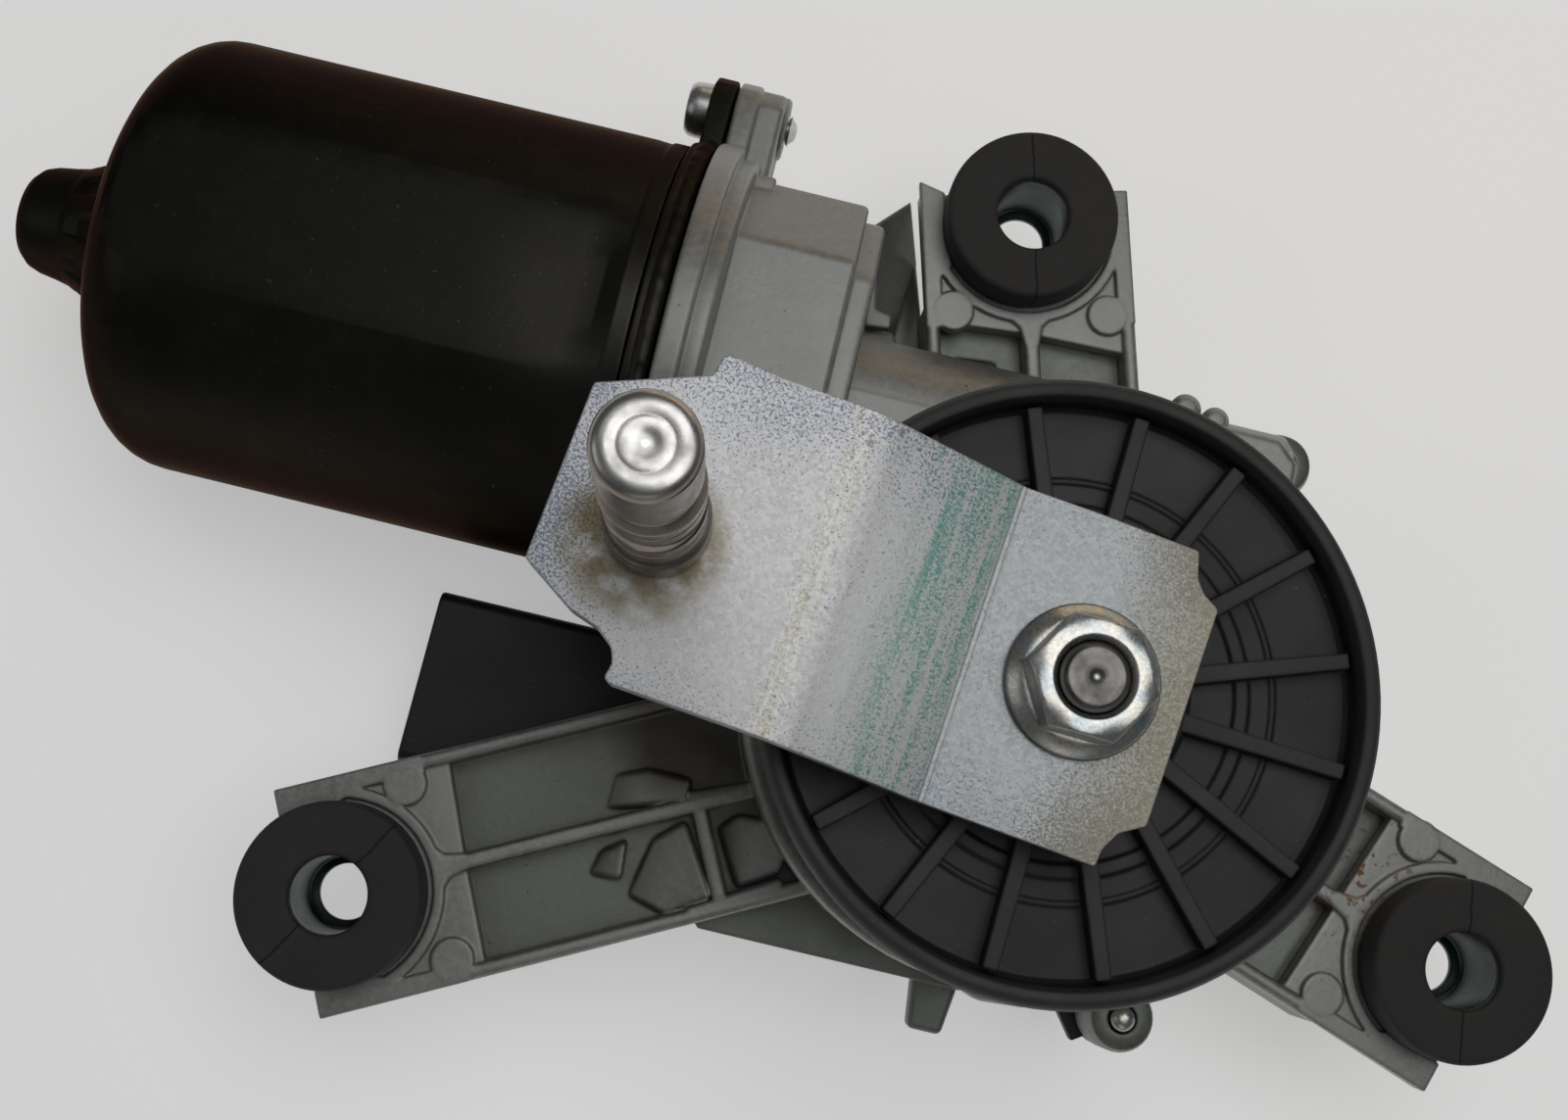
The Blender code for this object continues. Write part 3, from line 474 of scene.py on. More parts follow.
def cast_alloy():
    """Die-cast aluminium: mottled grey skin, brighter ridges, grime and painted shade in the corners, painted
    shade on the low floors, a painted shadow of the crank, a little rust.
    """
    f = Finish("die cast aluminium", metal=0.82, specular=0.5)
    mottle = f.noise(75.0, 5.0, 0.6)
    fine = f.noise(950.0, 4.0, 0.65)
    flow = f.noise(24.0, 3.0, 0.5, distort=0.6)
    colour = f.blend(f.spread(mottle, 0.3, 0.7), (0.255, 0.262, 0.245), (0.40, 0.405, 0.39))
    colour = f.blend(f.spread(flow, 0.45, 0.7) * 0.45, colour, (0.29, 0.32, 0.285))
    colour = f.blend(f.spread(fine, 0.42, 0.62) * 0.35, colour, (0.50, 0.50, 0.49))
    # painted shade: everything below the pad level is darker, as the low floors and recesses lie in shade
    sunk = f.spread(f.along(f.here, "Z"), -0.0574, -0.0562, 1.0, 0.0)
    colour = f.blend(sunk * 0.55, colour, (0.125, 0.145, 0.12))
    # ambient occlusion: partly grime, partly painted shade in the corners, more of it on the low floors
    grime_and_corner_shade = (f.crevices(0.004) * f.spread(mottle, 0.25, 0.6, 0.5, 1.0)) * (sunk * 0.20 + 0.08)
    colour = f.blend(grime_and_corner_shade.held(), colour, (0.075, 0.068, 0.052))
    # painted shadow: a dark brown patch where the crank's shadow falls on the housing
    crank_shadow = f.spread(f.distance((-0.044, -0.016, -0.056), (0.8, 1.2, 0.5)) + mottle * 0.006, 0.0125, 0.0075)
    colour = f.blend(crank_shadow * 0.75, colour, (0.085, 0.062, 0.042))
    bright = f.edges(0.0007, 3.0) * f.spread(f.noise(420.0, 3.0), 0.3, 0.55)
    colour = f.blend(bright * 0.6, colour, (0.66, 0.66, 0.64))
    near = f.spread(f.distance((0.0525, -0.011, -0.0545), (1, 1, 0)), 0.003, 0.011, 1.0, 0.0)
    rust = near * f.spread(f.noise(700.0, 5.0, 0.7), 0.56, 0.62)
    colour = f.blend(rust, colour, (0.30, 0.13, 0.045))
    pits = f.spread(f.noise(1300.0, 2.0), 0.72, 0.78)
    colour = f.blend(pits * 0.7, colour, (0.05, 0.05, 0.045))
    rough = (f.spread(mottle, 0.3, 0.7, 0.40, 0.56) + f.spread(fine, 0.4, 0.7) * 0.08 + rust * 0.3
             + grime_and_corner_shade * 0.2)
    metal = (0.85 - rust * 0.8 - grime_and_corner_shade * 0.45).held()
    height = fine * 0.5 + mottle * 0.5 - pits * 0.3
    return f.feed(Base_Color=colour, Roughness=rough, Metallic=metal,
                  Normal=f.bumped(height, 0.00012, 0.6, 0.0007))


def spangle(f, grain):
    """Crystal grain of a zinc plate, 0 to 1."""
    cells = f.node("ShaderNodeTexVoronoi", None, {"Vector": f.here, "Scale": grain}, "Color")
    return f.along(cells, "X") * 0.6 + f.noise(grain * 2.2, 2.0) * 0.4


def crank_zinc():
    """Zinc-plated crank sheet: sparkling grain, rolled streaks across it, a blue and straw tint."""
    f = Finish("zinc plated crank sheet", metal=1.0)
    turned_to = f.shifted(turn=(0, 0, -CRANK_ANGLE))
    grain = spangle(f, 2300.0)
    reach = f.along(turned_to, "X")
    side = f.along(turned_to, "Y")
    streak = f.noise(1.0, 5.0, 0.6, at=f.vector('MULTIPLY', turned_to, (760.0, 45.0, 45.0)))
    cloud = f.noise(38.0, 3.0, 0.55)
    speck = f.noise(3000.0, 3.0, 0.7)
    colour = f.blend(f.spread(grain, 0.25, 0.75), (0.47, 0.48, 0.48), (0.53, 0.53, 0.53))
    # painted shade: darker on the raised part, at the shaft and most at the end past the shaft, where the
    # overhead box's reflection gives out
    colour = f.blend(f.spread(reach, 0.026, 0.030) * f.spread(reach, 0.052, 0.044), colour,
                     (0.42, 0.42, 0.42))
    colour = f.blend(f.spread(reach, 0.0135, 0.0128), colour, (0.27, 0.285, 0.29))
    colour = f.blend(f.spread(reach, 0.0, -0.010) * 0.8, colour, (0.17, 0.175, 0.165))
    # dull blue grain, thicker towards the long edges and both ends
    rim = f.spread(side.size(), 0.009, 0.020) * 0.55 + f.spread(reach, 0.003, -0.012) * 0.9
    rim = rim + f.spread(reach, 0.044, 0.062) * 0.5 + (cloud - 0.5) * 1.6
    dull = f.spread(speck + rim.held() * 0.24, 0.63, 0.71)
    colour = f.blend(dull * 0.85, colour, f.blend(f.spread(reach, 0.0, 0.012), (0.20, 0.19, 0.16),
                                                  (0.17, 0.21, 0.30)))
    # green grain beside the bend at the shaft, a straw line beside the other
    green = f.spread(reach, 0.0132, 0.0142) * f.spread(reach, 0.0265, 0.0205)
    straw = f.spread((reach - 0.0328).size(), 0.0021, 0.0010)
    drawn = f.spread(speck + streak * 0.8, 0.84, 1.02)
    colour = f.blend(green * drawn * 0.9, colour, (0.12, 0.30, 0.25))
    colour = f.blend(straw * drawn * 0.6, colour, (0.26, 0.24, 0.155))
    # the press left two fine lines at the near bend, and the riveting a stain round the pin
    lines = [f.spread((reach - at).size(), 0.00022, 0.00010) for at in (0.0126, 0.0133)]
    pressed = lines[0] + lines[1]
    colour = f.blend(pressed.held() * 0.65, colour, (0.26, 0.28, 0.27))
    ring = f.distance((-0.0520, 0.0035, -0.003), (1, 1, 0))
    stain = (f.spread(ring, 0.0105, 0.0065) * f.spread(f.noise(300.0, 4.0), 0.30, 0.55)).held()
    colour = f.blend(stain * 0.75, colour, (0.34, 0.28, 0.15))
    colour = f.blend(f.spread(reach, -0.002, -0.012) * 0.35, colour, (0.34, 0.31, 0.22))
    colour = f.blend(f.edges(0.0005, 3.0) * 0.5, colour, (0.86, 0.86, 0.87))
    rough = f.spread(grain, 0.2, 0.8, 0.33, 0.41) + dull * 0.10 + stain * 0.25
    height = grain * 0.2 + speck * 0.4 - pressed * 0.6
    return f.feed(Base_Color=colour, Roughness=rough, Normal=f.bumped(height, 0.00005, 0.45, 0.0003))


def zinc_small():
    """Zinc plate on turned fasteners: fine lines round the axis, blue and straw tint, painted shade in
    crevices.
    """
    f = Finish("zinc plated fasteners", metal=1.0)
    cloud = f.noise(260.0, 3.0, 0.5)
    fine = f.noise(2600.0, 3.0, 0.6)
    tint = f.ramp(f.spread(cloud, 0.3, 0.7), ((0.0, (0.44, 0.53, 0.55)), (0.4, (0.60, 0.61, 0.60)),
                                             (0.7, (0.66, 0.64, 0.56)), (1.0, (0.50, 0.56, 0.60))))
    worn = f.edges(0.0004, 2.5)
    colour = f.blend(worn * 0.6, tint, (0.82, 0.82, 0.80))
    # painted shade in crevices
    colour = f.blend(f.crevices(0.0015) * 0.7, colour, (0.12, 0.12, 0.10))
    rough = f.spread(fine, 0.3, 0.7, 0.24, 0.40)
    return f.feed(Base_Color=colour, Roughness=rough, Normal=f.bumped(fine, 0.00003, 0.5, 0.0003))


def sleeve_zinc():
    """Old zinc plate inside the spacer tubes: dull teal with a bright lip."""
    f = Finish("old zinc on spacer tubes", metal=0.9)
    lines = (f.along(f.here, "Z") * 5200.0 + f.noise(200.0, 2.0) * 3.0).sine() * 0.5 + 0.5
    cloud = f.noise(240.0, 4.0, 0.6)
    colour = f.blend(f.spread(cloud, 0.3, 0.7), (0.032, 0.062, 0.066), (0.085, 0.088, 0.074))
    colour = f.blend(lines * 0.2, colour, (0.06, 0.11, 0.12))
    colour = f.blend(f.edges(0.0005, 2.5) * 0.8, colour, (0.72, 0.74, 0.74))
    rough = f.spread(cloud, 0.3, 0.7, 0.30, 0.45)
    return f.feed(Base_Color=colour, Roughness=rough, Normal=f.bumped(lines, 0.00002, 0.5, 0.0003))


def turned_steel(name, spot, tone, top, rough_low=0.26, rough_high=0.42, side=None):
    """Steel turned on a lathe: fine rings about an upright axis, dull stains, painted shade in its corners,
    and painted shade, dark and brownish, on its sides below the top face.
    """
    rings = 5200.0
    f = Finish(name, metal=1.0)
    radius = f.distance(spot, (1, 1, 0))
    level = f.along(f.here, "Z")
    waver = f.noise(300.0, 2.0) * 0.6
    groove = ((radius + level) * rings + waver).sine() * 0.5 + 0.5
    coarse = ((radius + level) * (rings * 0.37)).sine() * 0.5 + 0.5
    stain = f.spread(f.noise(240.0, 4.0, 0.6), 0.45, 0.7)
    dark = tuple(c * 0.55 for c in tone)
    light = tuple(min(1.0, c * 1.25) for c in tone)
    colour = f.blend(groove * 0.6 + coarse * 0.4, tone, light)
    colour = f.blend(stain * 0.6, colour, dark)
    # painted shade: the sides below the top face are darker and browner than the lit top
    below = f.spread(level, top * MM - 0.0006, top * MM - 0.0001, 1.0, 0.0)
    colour = f.blend(below * 0.85, colour, side or dark)
    colour = f.blend(f.spread(radius, 0.00045, 0.00030) * 0.9, colour, (0.85, 0.85, 0.84))
    # painted shade in corners
    colour = f.blend(f.crevices(0.002) * 0.6, colour, (0.07, 0.06, 0.045))
    colour = f.blend(f.edges(0.0004, 2.5) * 0.6, colour, (0.80, 0.79, 0.76))
    rough = f.spread(stain, 0.0, 1.0, rough_low, rough_high)
    height = groove * 0.5 + coarse * 0.5
    return f.feed(Base_Color=colour, Roughness=rough, Normal=f.bumped(height, 0.00003, 0.5, 0.0003))


def shield_plastic():
    """Black moulded plastic: fine texture, a painted highlight on the rib tops, greyed rims, dusty specks."""
    f = Finish("black moulded plastic", specular=0.45)
    fine = f.noise(2200.0, 3.0, 0.6)
    cloud = f.noise(55.0, 4.0)
    rubbed = f.edges(0.0008, 2.5) * f.spread(f.noise(380.0, 4.0), 0.3, 0.6)
    level = f.along(f.here, "Z")
    # painted highlight: the rib tops, above the dish floor, are made lighter as where light catches them
    rib_top_highlight = f.spread(level, -0.0152, -0.0147)
    colour = f.blend(f.spread(cloud, 0.3, 0.7), (0.0125, 0.0128, 0.013), (0.021, 0.021, 0.0205))
    colour = f.blend(rib_top_highlight * f.spread(f.noise(240.0, 4.0), 0.2, 0.7, 0.45, 0.8), colour,
                     (0.052, 0.052, 0.050))
    colour = f.blend(rubbed * 0.6, colour, (0.07, 0.069, 0.066))
    specks = f.spread(f.noise(1100.0, 2.0), 0.73, 0.78)
    colour = f.blend(specks * 0.5, colour, (0.16, 0.15, 0.12))
    rough = f.spread(cloud, 0.3, 0.7, 0.42, 0.58) + rib_top_highlight * 0.08
    return f.feed(Base_Color=colour, Roughness=rough, Normal=f.bumped(fine, 0.00004, 0.6, 0.0005))


def cover_plastic():
    """Glass-filled black plastic of the gear cover and its plug socket."""
    f = Finish("black glass filled plastic", specular=0.45)
    fine = f.noise(1700.0, 4.0, 0.65)
    fibre = f.noise(1.0, 3.0, 0.5, at=f.shifted((500.0, 2600.0, 1400.0), turn=(0, 0, 30)))
    cloud = f.noise(60.0, 4.0)
    colour = f.blend(f.spread(cloud, 0.3, 0.7), (0.010, 0.010, 0.0105), (0.019, 0.0185, 0.018))
    colour = f.blend(f.spread(fibre, 0.55, 0.75) * 0.35, colour, (0.045, 0.044, 0.042))
    colour = f.blend(f.edges(0.0008, 2.5) * 0.5, colour, (0.06, 0.058, 0.054))
    rough = f.spread(cloud, 0.3, 0.7, 0.40, 0.56)
    return f.feed(Base_Color=colour, Roughness=rough, Normal=f.bumped(fine, 0.00005, 0.6, 0.0005))


# place of each rubber and direction of the mould line across it
MOULD_LINES = ((-12.3, 70.1, 103.0), (-84.5, -46.0, 60.0), (67.3, -20.6, 95.0))


def grommet_rubber():
    """Moulded black rubber: fine skin, chalky bloom, a thin mould line across each ring."""
    f = Finish("moulded black rubber", specular=0.35)
    fine = f.noise(2600.0, 3.0, 0.6)
    cloud = f.noise(130.0, 5.0, 0.65)
    bloom = f.spread(cloud, 0.45, 0.75)
    colour = f.blend(bloom * 0.6, (0.040, 0.039, 0.038), (0.070, 0.067, 0.063))
    colour = f.blend(f.edges(0.0007, 2.0) * 0.4, colour, (0.085, 0.075, 0.065))
    rough = f.spread(cloud, 0.3, 0.7, 0.62, 0.80)
    height = fine
    for x, y, angle in MOULD_LINES:
        a = math.radians(angle)
        spot = (x * MM, y * MM, 0.0)
        near = f.distance(spot, (1, 1, 0)) * -1.0 + 0.0128
        moved = f.vector('SUBTRACT', f.here, spot)
        across = f.vector('DOT_PRODUCT', moved, (-math.sin(a), math.cos(a), 0.0), "Value")
        waver = (f.noise(260.0, 2.0) - 0.5) * 0.0012
        line = f.spread((across + waver).size(), 0.00006, 0.00022, 1.0, 0.0) * near.above(0.0)
        colour = f.blend(line * 0.8, colour, (0.005, 0.005, 0.005))
        height = height - line * 1.5
    return f.feed(Base_Color=colour, Roughness=rough, Normal=f.bumped(height, 0.00005, 0.7, 0.0005))


def inner_finish(name, dark, light, rough, metal, scale, streak=None, depth=0.00004):
    """A plain worked finish for pieces inside the motor: two tones, fine relief, worn edges, painted shade in
    corners.
    """
    f = Finish(name, metal=metal)
    cloud = f.noise(scale, 4.0, 0.6, at=f.shifted(streak) if streak else f.here)
    fine = f.noise(2200.0, 3.0)
    colour = f.blend(f.spread(cloud, 0.3, 0.7), dark, light)
    edge = tuple(min(1.0, c * 1.5 + 0.02) for c in light)
    colour = f.blend(f.edges(0.0004, 2.0) * 0.5, colour, edge)
    # painted shade in corners
    colour = f.blend(f.crevices(0.002) * 0.5, colour, tuple(c * 0.35 for c in dark))
    spread = f.spread(fine, 0.3, 0.7, rough - 0.06, rough + 0.08)
    return f.feed(Base_Color=colour, Roughness=spread, Normal=f.bumped(fine * 0.6 + cloud * 0.4, depth, 0.5))


# ------------------------------------------------------------------ motor

def make_can(look):
    """Drawn can: two flats along it, a rounded end, a fluted cone over the rear bearing, a mouth band."""
    x0, xe = CAN_MOUTH, CAN_END
    inside = [(0.0, xe - 15.9), (6.1, xe - 15.9), (6.1, xe - 5.0), (9.0, xe + 2.4), (21.5, xe + 2.4),
              (27.4, xe + 5.0), (29.0, xe + 9.5), (29.3, x0 - 8.0), (29.3, x0 - 4.8), (29.3, x0)]
    outside = [(CAN_R, x0), (CAN_R, x0 - 2.2), (31.2, x0 - 2.7), (31.35, x0 - 4.8), (31.35, x0 - 8.0),
               (31.3, x0 - 20.0), (31.2, x0 - 40.0), (31.1, xe + 9.4)]
    for step in range(1, 9):
        a = math.radians(90.0 * step / 8)
        outside.append((23.0 + 8.1 * math.cos(a), xe + 9.4 - 8.5 * math.sin(a)))
    outside += [(18.0, xe + 0.6), (15.6, xe + 0.4), (14.9, xe - 0.1), (14.3, xe - 1.2), (12.9, xe - 3.2),
                (11.4, xe - 5.4), (10.2, xe - 7.4), (9.2, xe - 9.4), (8.7, xe - 10.4), (8.2, xe - 12.6),
                (7.8, xe - 15.0), (7.3, xe - 16.4), (6.4, xe - 17.4), (4.8, xe - 18.0), (2.4, xe - 18.2),
                (0.0, xe - 18.3)]
    bm = turned(inside + outside, segs=100, axis='X')
    # press in the two flats, a little less on the inner wall and at the mouth band, then flute the cone
    for v in bm.verts:
        r = math.hypot(v.co.y, v.co.z)
        if v.co.x < x0 - 4.0 and r > 20.0:
            limit = 28.86 if r < 30.0 and v.co.x > xe + 9.0 else 29.29
            limit += 0.5 if v.co.x > x0 - 5.5 else 0.0
            v.co.z = max(-limit, min(limit, v.co.z))
        if xe - 8.0 < v.co.x < xe - 1.2 and r > 8.4:
            a = math.atan2(v.co.z, v.co.y)
            sunk = 0.93 if math.cos(10.0 * a + 0.6) > -0.2 else 1.0
            v.co.y *= sunk
            v.co.z *= sunk
    place(bm, centre=MOTOR)
    return finish_piece("can_shell", bm, look, "frame", "black_steel", "motor_can", angle=13.0)


def flange_plan(radius, ear_reach, ear_w):
    """Round flange with two rounded screw ears, seen along the motor."""
    pts = []
    half = math.degrees(math.asin(ear_w / radius))
    for k, angle in enumerate(EARS):
        ear = [(ear_reach - 4.0, -ear_w), (ear_reach - 0.6, -ear_w * 0.8), (ear_reach + 1.4, -ear_w * 0.45),
               (ear_reach + 2.0, 0.0), (ear_reach + 1.4, ear_w * 0.45), (ear_reach - 0.6, ear_w * 0.8),
               (ear_reach - 4.0, ear_w)]
        pts += swung(ear, angle)
        after = EARS[(k + 1) % len(EARS)] + (360.0 if k + 1 == len(EARS) else 0.0)
        steps = max(12, int((after - angle) / 5))
        pts += around(0, 0, radius, steps, angle + half, after - angle - 2 * half)
    return pts


def ear_spot(k):
    """Y and Z of the middle of a screw ear."""
    a = math.radians(EARS[k])
    return AXIS_Y + EAR_R * math.cos(a), AXIS_Z + EAR_R * math.sin(a)


def make_can_flange(look):
    """Black mouth flange with its ears and a knurled sealing bead."""
    plate = raised(flange_plan(32.3, 42.7, 7.8), -61.7, -58.3, 'X', MOTOR, round_by=0.45)
    tools = [rod(29.3, -70, -50, 72, 'X', MOTOR)]
    for k in range(len(EARS)):
        tools.append(rod(EAR_BORE, -70, -50, 24, 'X', (0, *ear_spot(k))))
    bead = turned([(31.8, -60.7), (32.6, -60.5), (32.9, -59.9), (32.9, -59.3), (32.6, -58.7), (31.8, -58.5)],
                  240, 'X', closed=True)
    for v in bead.verts:
        r = math.hypot(v.co.y, v.co.z)
        if r > 32.4:
            a = math.degrees(math.atan2(v.co.z, v.co.y))
            wave = math.sin(math.radians(a * 60.0)) + math.sin(math.radians(a * 97.0 + 50.0))
            swell = 1.0 + 0.003 * wave
            v.co.y *= swell
            v.co.z *= swell
    place(bead, centre=MOTOR)
    body = gathered([carved(plate, remove=tools), bead])
    return finish_piece("can_mouth_flange", body, look, "frame", "black_steel", "can_flange")


def make_can_bolts(look):
    """Domed screws with a six-lobed socket and a rolled thread."""
    for k in range(len(EARS)):
        y, z = ear_spot(k)
        stem = [(0.0, -65.4), (2.6, -65.4), (3.5, -65.2), (4.0, -64.5), (4.1, -63.4), (4.1, CAN_MOUTH),
                (2.2, CAN_MOUTH)]
        x = -57.0
        while x < -49.9:
            stem += [(1.95, x), (2.25, x + 0.3)]
            x += THREAD
        stem += [(1.9, -49.6), (1.2, -48.9), (0.6, -48.7), (0.0, -48.65)]
        screw = turned(stem, 32, 'X', (0, y, z))
        screw = carved(screw, remove=[raised(star(1.55, 0.32), -67.0, -63.6, 'X', (0, y, z))])
        finish_piece("can_screw_%d" % (k + 1), screw, look, "frame", "zinc_plate", "can_bolt_%d" % (k + 1))


# ------------------------------------------------------------------ housing

def body_plan(grow=0.0, beside_neck=-37.5):
    """Outline of the gear chamber, made larger all round by an amount."""
    g = grow
    pts = [(beside_neck, 45.0 + g), (beside_neck, 9.3), (-37.5 - g, 9.2), (-37.5 - g, -37.6),
           (-35.5, -39.6 - g), (2.0, -39.6 - g)]
    for k in range(0, 17):
        a = math.radians(-78 + 5.25 * k)
        pts.append(((40.0 + g) * math.cos(a), (40.0 + g) * math.sin(a)))
    pts += [(38.0 + g, 12.0), (35.0 + g, 27.0), (31.2 + g, 34.0), (31.2 + g, 42.0), (28.0 + g, 45.0 + g)]
    return pts


def chamber_plan():
    """The chamber above its ledge: round beside the long leg."""
    pts = body_plan()
    return pts[:3] + around(0, 0, 38.0, 16, 193, 75) + pts[5:]


def sloped(outline, low, at, level, rise, round_by=0.5, steps=3):
    """A pad whose top is level at one place and rises across the plan."""
    bm = raised(outline, low, level)
    for v in bm.verts:
        if v.co.z > (low + level) / 2:
            v.co.z = max(low + 0.4, level + (v.co.x - at[0]) * rise[0] + (v.co.y - at[1]) * rise[1])
    ease(bm, round_by, 28.0, steps)
    return bm


def ridge(leg, line, width, low, high, round_by=0.5):
    """A straight rib between two (along, across) points of a leg."""
    (u0, v0), (u1, v1) = line
    length = math.hypot(u1 - u0, v1 - v0)
    cu, cv = (u1 - u0) / length, (v1 - v0) / length
    h = width / 2
    pts = [(u0 + cv * h, v0 - cu * h), (u1 + cv * h, v1 - cu * h), (u1 - cv * h, v1 + cu * h),
           (u0 - cv * h, v0 + cu * h)]
    return raised(on_leg(leg, pts), low, high, round_by=round_by, steps=3)


# where the pad of each leg ends towards the body: left edge, middle, right edge
PAD_EDGES = ((57.2, 54.8, 51.2), (78.7, 78.4, 77.6), (54.2, 53.2, 52.2))
EJECTOR_MARKS = (((-20.1, 55.1), (2.2, 59.9)), ((-79.4, -29.6), (-67.0, -51.0)),
                 ((60.6, -4.6), (50.9, -28.5)))


def leg_solids(leg):
    """Solids of one leg, and what is cut from it."""
    reach, width = LEGS[leg][2:]
    half = width / 2
    start = 36.0 if leg != 0 else 41.0
    eye = reach + 5.6
    left, middle, right = PAD_EDGES[leg]
    add = []
    cut = []
    floor = PAD_TOP - 0.9
    add.append(raised(on_leg(leg, [(start - 8, -half + 1), (reach - 10, -half + 1), (reach - 10, half - 1),
                                   (start - 8, half - 1)]), SLAB_BOTTOM, SLAB_TOP, round_by=0.3))
    add.append(raised(on_leg(leg, [(right, -half + 0.2), (eye, -half), (eye, half), (left, half - 0.2),
                                   (middle, 0)]), PAD_BOTTOM, floor, round_by=0.35))
    add.append(raised(on_leg(leg, [(right + 0.4, -half + 0.6), (reach - 13.4, -half + 0.6),
                                   (reach - 13.4, half - 0.6), (left + 0.4, half - 0.6), (middle + 0.4, 0)]),
                      SLAB_BOTTOM + 0.1, floor - 0.4))
    # raised lips: round the rubber, along both sides, out to the fork tips
    outer = around(reach, 0, 14.5, 40, 90, 180)
    inner = around(reach, 0, 12.9, 40, 90, 180)[::-1]
    add.append(raised(on_leg(leg, outer + inner), floor - 0.5, PAD_TOP, round_by=0.35))
    for s in (-1, 1):
        wide = 4.4 if (leg == 0 and s == 1) else 2.6
        edge = [(reach - 15.0, s * half), (reach - 15.0, s * (half - 2.6)), (reach - 7.4, s * (half - 2.6)),
                (reach - 5.8, s * (half - wide)), (reach - 2.5, s * 11.8), (eye, s * 11.8),
                (eye + wide - 2.6, s * half)]
        if s == 1:
            edge = edge[::-1]
        add.append(raised(on_leg(leg, edge), floor - 0.5, PAD_TOP, round_by=0.3))
        lean = s * (half - 1.05)
        add.append(ridge(leg, ((start - 6, lean), (reach - 11.0, lean)), 2.1, SKIRT_BOTTOM, PAD_TOP - 0.05,
                         0.8))
    add.append(ridge(leg, ((start - 5, 0.0), (reach - 13.2, 0.0)), 2.3, SLAB_BOTTOM + 0.4, PAD_TOP - 0.1,
                     0.7))
    add.append(raised(on_leg(leg, [(reach - 18.4, -1.0), (reach - 15.2, -1.7), (reach - 13.6, -3.6),
                                   (reach - 13.6, 3.6), (reach - 15.2, 1.7), (reach - 18.4, 1.0)]),
                      floor - 0.5, PAD_TOP - 0.1, round_by=0.4))
    for x, y in EJECTOR_MARKS[leg]:
        add.append(turned([(0, floor - 1), (3.0, floor - 1), (3.0, PAD_TOP - 0.12), (2.8, PAD_TOP + 0.05),
                           (0, PAD_TOP + 0.05)], 32, centre=(x, y, 0)))
    slot = [(reach + 30, -8.9), (reach + 30, 8.9)] + around(reach, 0, 8.9, 24, 90, 180)
    cut.append(raised(on_leg(leg, slot), -75, -48))
    cut.append(raised(on_leg(leg, around(reach, 0, 13.0, 48)), -80, PAD_BOTTOM))
    return add, cut


def web_plan(x, y):
    """Outline of the web that ties a screw boss to the chamber."""
    r = math.hypot(x, y)
    return swung([(r - 9.0, -4.3), (r + 0.5, -4.3), (r + 0.5, 4.3), (r - 9.0, 4.3)],
                 math.degrees(math.atan2(y, x)))


